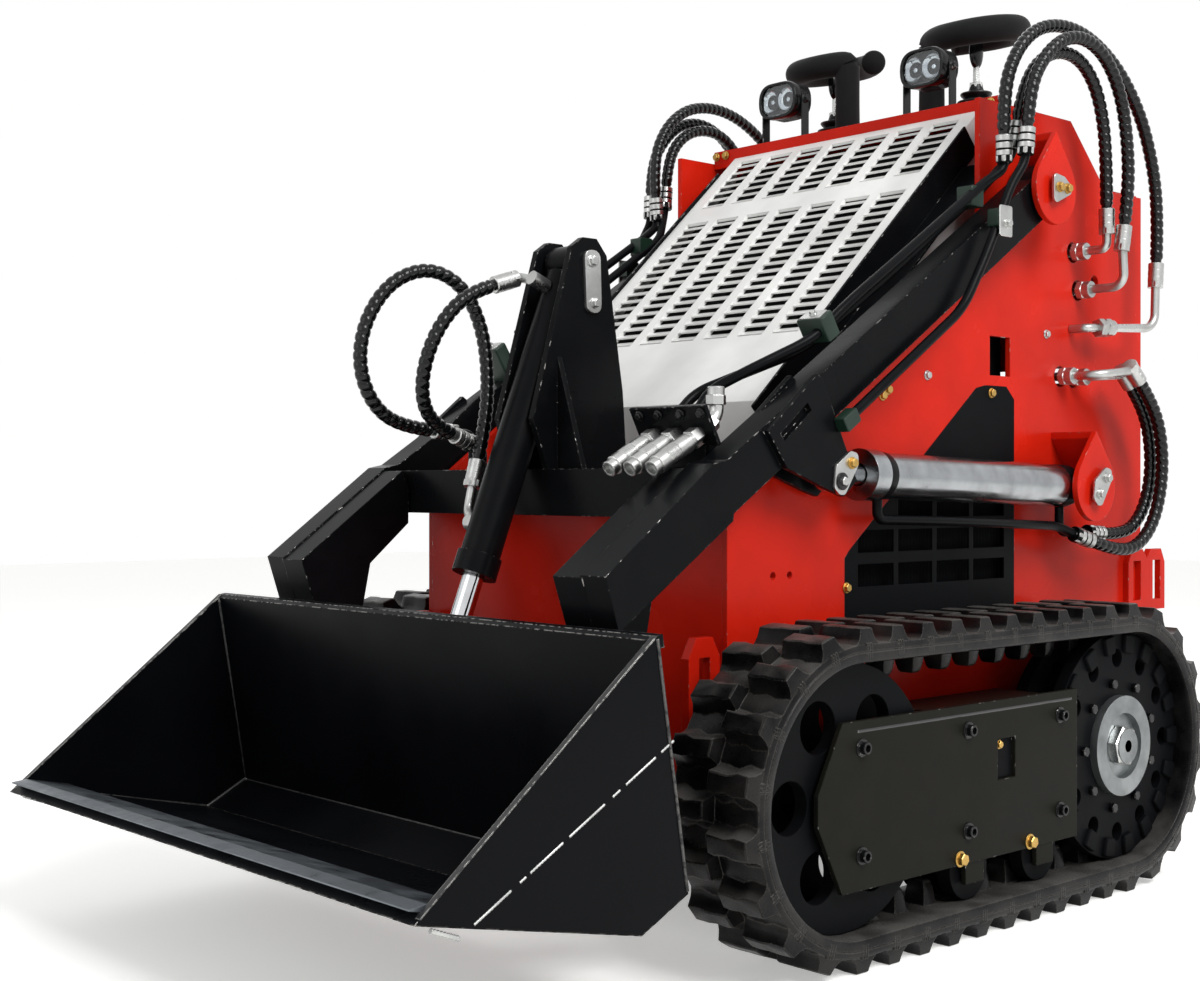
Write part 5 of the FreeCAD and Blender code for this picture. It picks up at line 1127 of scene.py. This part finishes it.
class LOADER_OT_console(bpy.types.Operator):
    """Hand rests, levers with their boots, work lamps with lenses, the lip's bolts and the black mat under the hood
    that paints the shade in its louvres
    """
    bl_idname = "loader.console"
    bl_label = "Console"

    def execute(self, context):
        foam = new_piece("hand_rest_foam", [foam_ring(side) for _, side in SIDES], "grip_foam", crease=60)
        post = [(0, 0), (0, 22), (5, 22), (6, 21), (6, 12.7), (90, 12.7), (90, 0)]
        feet = [mirrored(side, *rest_place(REST_START), DECK_Z) for _, side in SIDES]
        new_piece("hand_rest_posts", [lathe(post, foot, Z_AXIS, 24) for foot in feet], "black_enamel",
                  replaces="hand_rests")
        new_piece("lever_boots", [bellows(side) for _, side in SIDES], "bellows_rubber",
                  crease=50, replaces="control_levers")
        stick = [(0, 0), (0, 12), (1, 13.5), (9, 13.5), (10, 12), (10, 7), (48, 6), (48, 0)]
        sticks = [lathe(stick, mirrored(side, *LEVER, DECK_Z + 92), Z_AXIS, 6) for _, side in SIDES]
        new_piece("lever_sticks", sticks, "zinc_plate")
        new_piece("lever_knobs", [knob(side) for _, side in SIDES], "guard_plastic", crease=60)
        self.lamps()
        self.liner()
        lip = []
        for _, side in SIDES:
            for y in (352, 326):
                lip += hex_bolt(mirrored(side, 70, y, 1379), X_AXIS, 7, 5)
        new_piece("lip_bolts", lip, "yellow_zinc")
        return {"FINISHED"}

    def liner(self):
        """Quilted black mat under the louvres, a dark sheet that paints the shade inside their openings: square
        pillows that rise as sine times sine.
        """
        top = at(70, 0, 1369)
        down = unit(at(655, 0, 827) - top)
        normal = np.cross(down, Y_AXIS)
        normal = normal * -np.sign(normal[2])
        along = np.linspace(-0.006, 0.74, 62)[:, None]
        across = np.linspace(-0.292, 0.292, 60)[None, :]
        pillow = 0.004 * np.abs(np.sin(along * np.pi / 0.06) * np.sin(across * np.pi / 0.06))
        points = (top + along[..., None] * down + across[..., None] * Y_AXIS
                  + (0.034 - pillow)[..., None] * normal).reshape(-1, 3)
        # A black quilted sheet under the louvres paints the shade inside their openings.
        new_piece("hood_liner", [(points, grid_faces(62, 60, closed_columns=False))], "grip_foam",
                  crease=60)

    def lamps(self):
        """Oval lamps: ribbed case, bezel, two bright bowls under one lens, on straps with pivot bolts."""
        cases = []
        bowls = []
        lenses = []
        straps = []
        oval = oblong((-50, -36), (50, 36), 35.5, 8)
        inner = oval * 0.83
        bezel = ((oval, 0.0), (oval, 14.0), (oval * 0.97, 17.0), (inner * 1.03, 17.0), (inner, 12.0),
                 (inner, 2.0))
        for _, side in SIDES:
            foot = mirrored(side, *LAMP, DECK_Z)
            back = foot + Z_AXIS * 0.102 - X_AXIS * 0.027
            cases.append(slab(oval * 0.9, back, Y_AXIS, Z_AXIS, X_AXIS, 40, 4))
            for step in range(5):
                fin = back + X_AXIS * (0.004 + step * 0.006)
                cases.append(slab(oval * 0.97, fin, Y_AXIS, Z_AXIS, X_AXIS, 2.6, 0.5))
            front = back + X_AXIS * 0.036
            cases.append(ringed(bezel, front, Y_AXIS, Z_AXIS, X_AXIS))
            lenses.append(slab(inner, front + X_AXIS * 0.0105, Y_AXIS, Z_AXIS, X_AXIS, 2.5, 0.8))
            for way in (-1, 1):
                bowl = front + Y_AXIS * (way * 0.0205) + X_AXIS * 0.001
                bowls.append(lathe([(8, 23), (6, 21), (2.5, 14), (0.5, 6), (0.5, 5), (4, 4.4), (5, 0)], bowl,
                                   X_AXIS, 24))
                leg = foot + Y_AXIS * (way * 0.0505)
                straps.append(slab(oblong((-10, 0), (10, 108), 6), leg, X_AXIS, Z_AXIS, way * Y_AXIS, 3, 0.5))
                straps += hex_bolt(leg + Y_AXIS * way * 0.003 + Z_AXIS * 0.1, way * Y_AXIS, 7, 6)
            straps.append(slab(oblong((-10, -51), (10, 51)), foot, X_AXIS, Y_AXIS, Z_AXIS, 3, 0.5))
            straps += hex_bolt(foot + Z_AXIS * 0.003, Z_AXIS, 7, 6)
        new_piece("lamp_cases", cases, "guard_plastic", replaces="work_lamps")
        new_piece("lamp_bowls", bowls, "chromed_rod", crease=50)
        new_piece("lamp_lenses", lenses, "lamp_glass")
        new_piece("lamp_straps", straps, "black_oxide")


# ---------------------------------------------------------------- bucket and front linkage


BUCKET_HALF = 552
BUCKET_INSIDE = BUCKET_HALF - 8
TILT_PIN = (785, 1058)
# The broken weld on the bucket's sides: shares of its line where each run starts and stops.
SEAM_RUNS = ((0.0, 0.07), (0.1, 0.26), (0.29, 0.33), (0.37, 0.55), (0.58, 0.74), (0.76, 0.79), (0.83, 1.0))
# Corners that the inner welds follow, in x and z.
INNER_WELDS = (((1126, 492), (1072, 178)), ((1074, 174), (1150, 134)), ((1150, 134), (1400, 188)))
# Names, finishes and slots of the pieces that ride on the boom.
BOOM_FASTENERS = {
    "bracket_bolts": ("black_oxide", "black_paint"),
    "boom_plated_bolts": ("yellow_zinc", "zinc"),
    "boom_pin_ends": ("black_oxide", "black_paint"),
    "boom_keepers": ("zinc_plate", "zinc"),
    "boom_bolts": ("zinc_plate", "zinc"),
}


def bead(start, stop, radius, ripple=0.5):
    """Weld bead along a straight run: overlapping scales 5 mm long across a low half-round bar."""
    points, distance = even_points(np.array([at(*start), at(*stop)]), 1.6)

    def scales(along, angle):
        return ripple * np.abs(np.sin(np.pi * along / 5.0 + 0.5 * np.cos(angle)))

    return swept(points, distance, radius, 7, reference=(0.13, 0.9, 0.21), relief=scales)


class LOADER_OT_bucket(bpy.types.Operator):
    """Bucket welds, worn rims, and the keepers, bolts and glands of the boom's pins and cylinders"""
    bl_idname = "loader.bucket"
    bl_label = "Bucket"

    def execute(self, context):
        seams = []
        welds = []
        rims = []
        rim = oblong((0, -4.6), (474, 4.6), 1.5)
        rim_line = unit(at(1495, 0, 203) - at(1121, 0, 503))
        rim_face = unit(np.array([0.62, 0, 0.78]))
        for _, side in SIDES:
            y = side * BUCKET_HALF
            inner = side * BUCKET_INSIDE
            welds.append(bead((1120, y, 499), (1066, y, 170), 2.2))
            for low, high in INNER_WELDS:
                welds.append(bead((low[0], inner, low[1]), (high[0], inner, high[1]), 3.2))
            rim_end = at(1121, side * (BUCKET_HALF - 4), 502.2)
            rims.append(slab(rim, rim_end, rim_line, Y_AXIS, rim_face, 1.6, 0.7))
            for run in SEAM_RUNS:
                seams.append(bead(*((1091 + 323 * share, y, 367 - 179 * share) for share in run), 1.3, 0.7))
            seams.append(bead((1436, y, 176), (1476, y, 192), 2.6, 1.2))
        welds.append(bead((1072, -BUCKET_INSIDE, 172), (1072, BUCKET_INSIDE, 172), 3.0))
        new_piece("bucket_seams", seams, "raw_weld", "bucket_group", 60)
        new_piece("bucket_welds", welds, "bucket_weld", "bucket_group", 60)
        new_piece("bucket_rims", rims, "bucket_weld", "bucket_group")
        self.boom_pins()
        self.glands()
        return {"FINISHED"}

    def boom_pins(self):
        """Keepers on the tilt cylinder's pin and the lift rods' eyes, and the coupler bracket's bolts."""
        sheets = {name: [] for name in BOOM_FASTENERS}
        reach = outer_face("arm_left")
        eye_x, _, eye_z = LIFT_EYE
        ear = rounded([(-17, 18), (17, 18), (12, -84), (-20, -84)], 15)
        pin_end = [(0, 0), (0, 13), (1.5, 13.5), (2.5, 12), (2.5, 0)]
        for _, side in SIDES:
            pin = mirrored(side, TILT_PIN[0], 49.4, TILT_PIN[1])
            sheets["boom_keepers"].append(side_slab(ear, pin, side, 7))
            sheets["boom_bolts"] += side_bolts(side, [(780, 990)], 56, 7.5, 6)
            sheets["boom_bolts"] += side_bolts(side, [TILT_PIN], 56, 8.5, 6)
            plate, heads = retainer(BASE_PLATE, eye_x, eye_z, reach, side, ((9, -13),))
            sheets["boom_keepers"].append(plate)
            sheets["boom_bolts"] += heads
            sheets["boom_plated_bolts"] += side_bolts(side, [(603, 728)], reach + KEEPER_THICKNESS, 7.5, 6)
            place = mirrored(side, 626, reach + KEEPER_THICKNESS, 700)
            sheets["boom_pin_ends"].append(lathe(pin_end, place, side * Y_AXIS, 24))
        ahead, up = leaning(COUPLER_LEAN)
        for y in (256, 296, 342, 384):
            sheets["bracket_bolts"] += hex_bolt(at(843.9, y, 751.4) + up * 0.054, ahead, 6, 5)
        new_pieces(BOOM_FASTENERS, sheets, "boom")

    def glands(self):
        """Collars at both ends of each lift cylinder's barrel."""
        for side_name, side in SIDES:
            base = mirrored(side, *LIFT_BASE)
            axis = unit(mirrored(side, *LIFT_EYE) - base)
            collars = [lathe([(26, 20), (26, 34), (30, 37.7), (58, 37.7), (60, 37)], base, axis, 36),
                       lathe([(548, 37), (550, 37.8), (570, 37.8), (573, 35), (573, 18)], base, axis, 36)]
            new_piece(f"lift_glands_{side_name}", collars, "black_enamel",
                      f"{side_name}_lift_barrel", 40)


# ---------------------------------------------------------------- panel and registration


class LOADER_PT_panel(bpy.types.Panel):
    """Lists the loader's sizes, colours and pieces"""
    bl_label = "Mini track loader"
    bl_idname = "LOADER_PT_panel"
    bl_space_type = "VIEW_3D"
    bl_region_type = "UI"
    bl_category = "Loader"

    def draw(self, context):
        for settings in (context.scene.loader_stage, context.scene.loader_colours):
            column = self.layout.column()
            for key in settings.__annotations__:
                column.prop(settings, key)
        for operator in OPERATORS:
            self.layout.operator(operator.bl_idname)


SETTINGS = {"loader_stage": LoaderStage, "loader_colours": LoaderColours}
OPERATORS = (LOADER_OT_stage, LOADER_OT_finishes, LOADER_OT_hoses, LOADER_OT_fittings, LOADER_OT_tracks,
             LOADER_OT_fasteners, LOADER_OT_console, LOADER_OT_bucket)


def register():
    for kind in (*SETTINGS.values(), *OPERATORS, LOADER_PT_panel):
        bpy.utils.register_class(kind)
    for name, kind in SETTINGS.items():
        setattr(bpy.types.Scene, name, bpy.props.PointerProperty(type=kind))


def unregister():
    for name in SETTINGS:
        delattr(bpy.types.Scene, name)
    for kind in reversed((*SETTINGS.values(), *OPERATORS, LOADER_PT_panel)):
        bpy.utils.unregister_class(kind)


def main():
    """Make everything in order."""
    register()
    for operator in OPERATORS:
        group, name = operator.bl_idname.split(".")
        getattr(getattr(bpy.ops, group), name)()


if __name__ == "__main__":
    main()
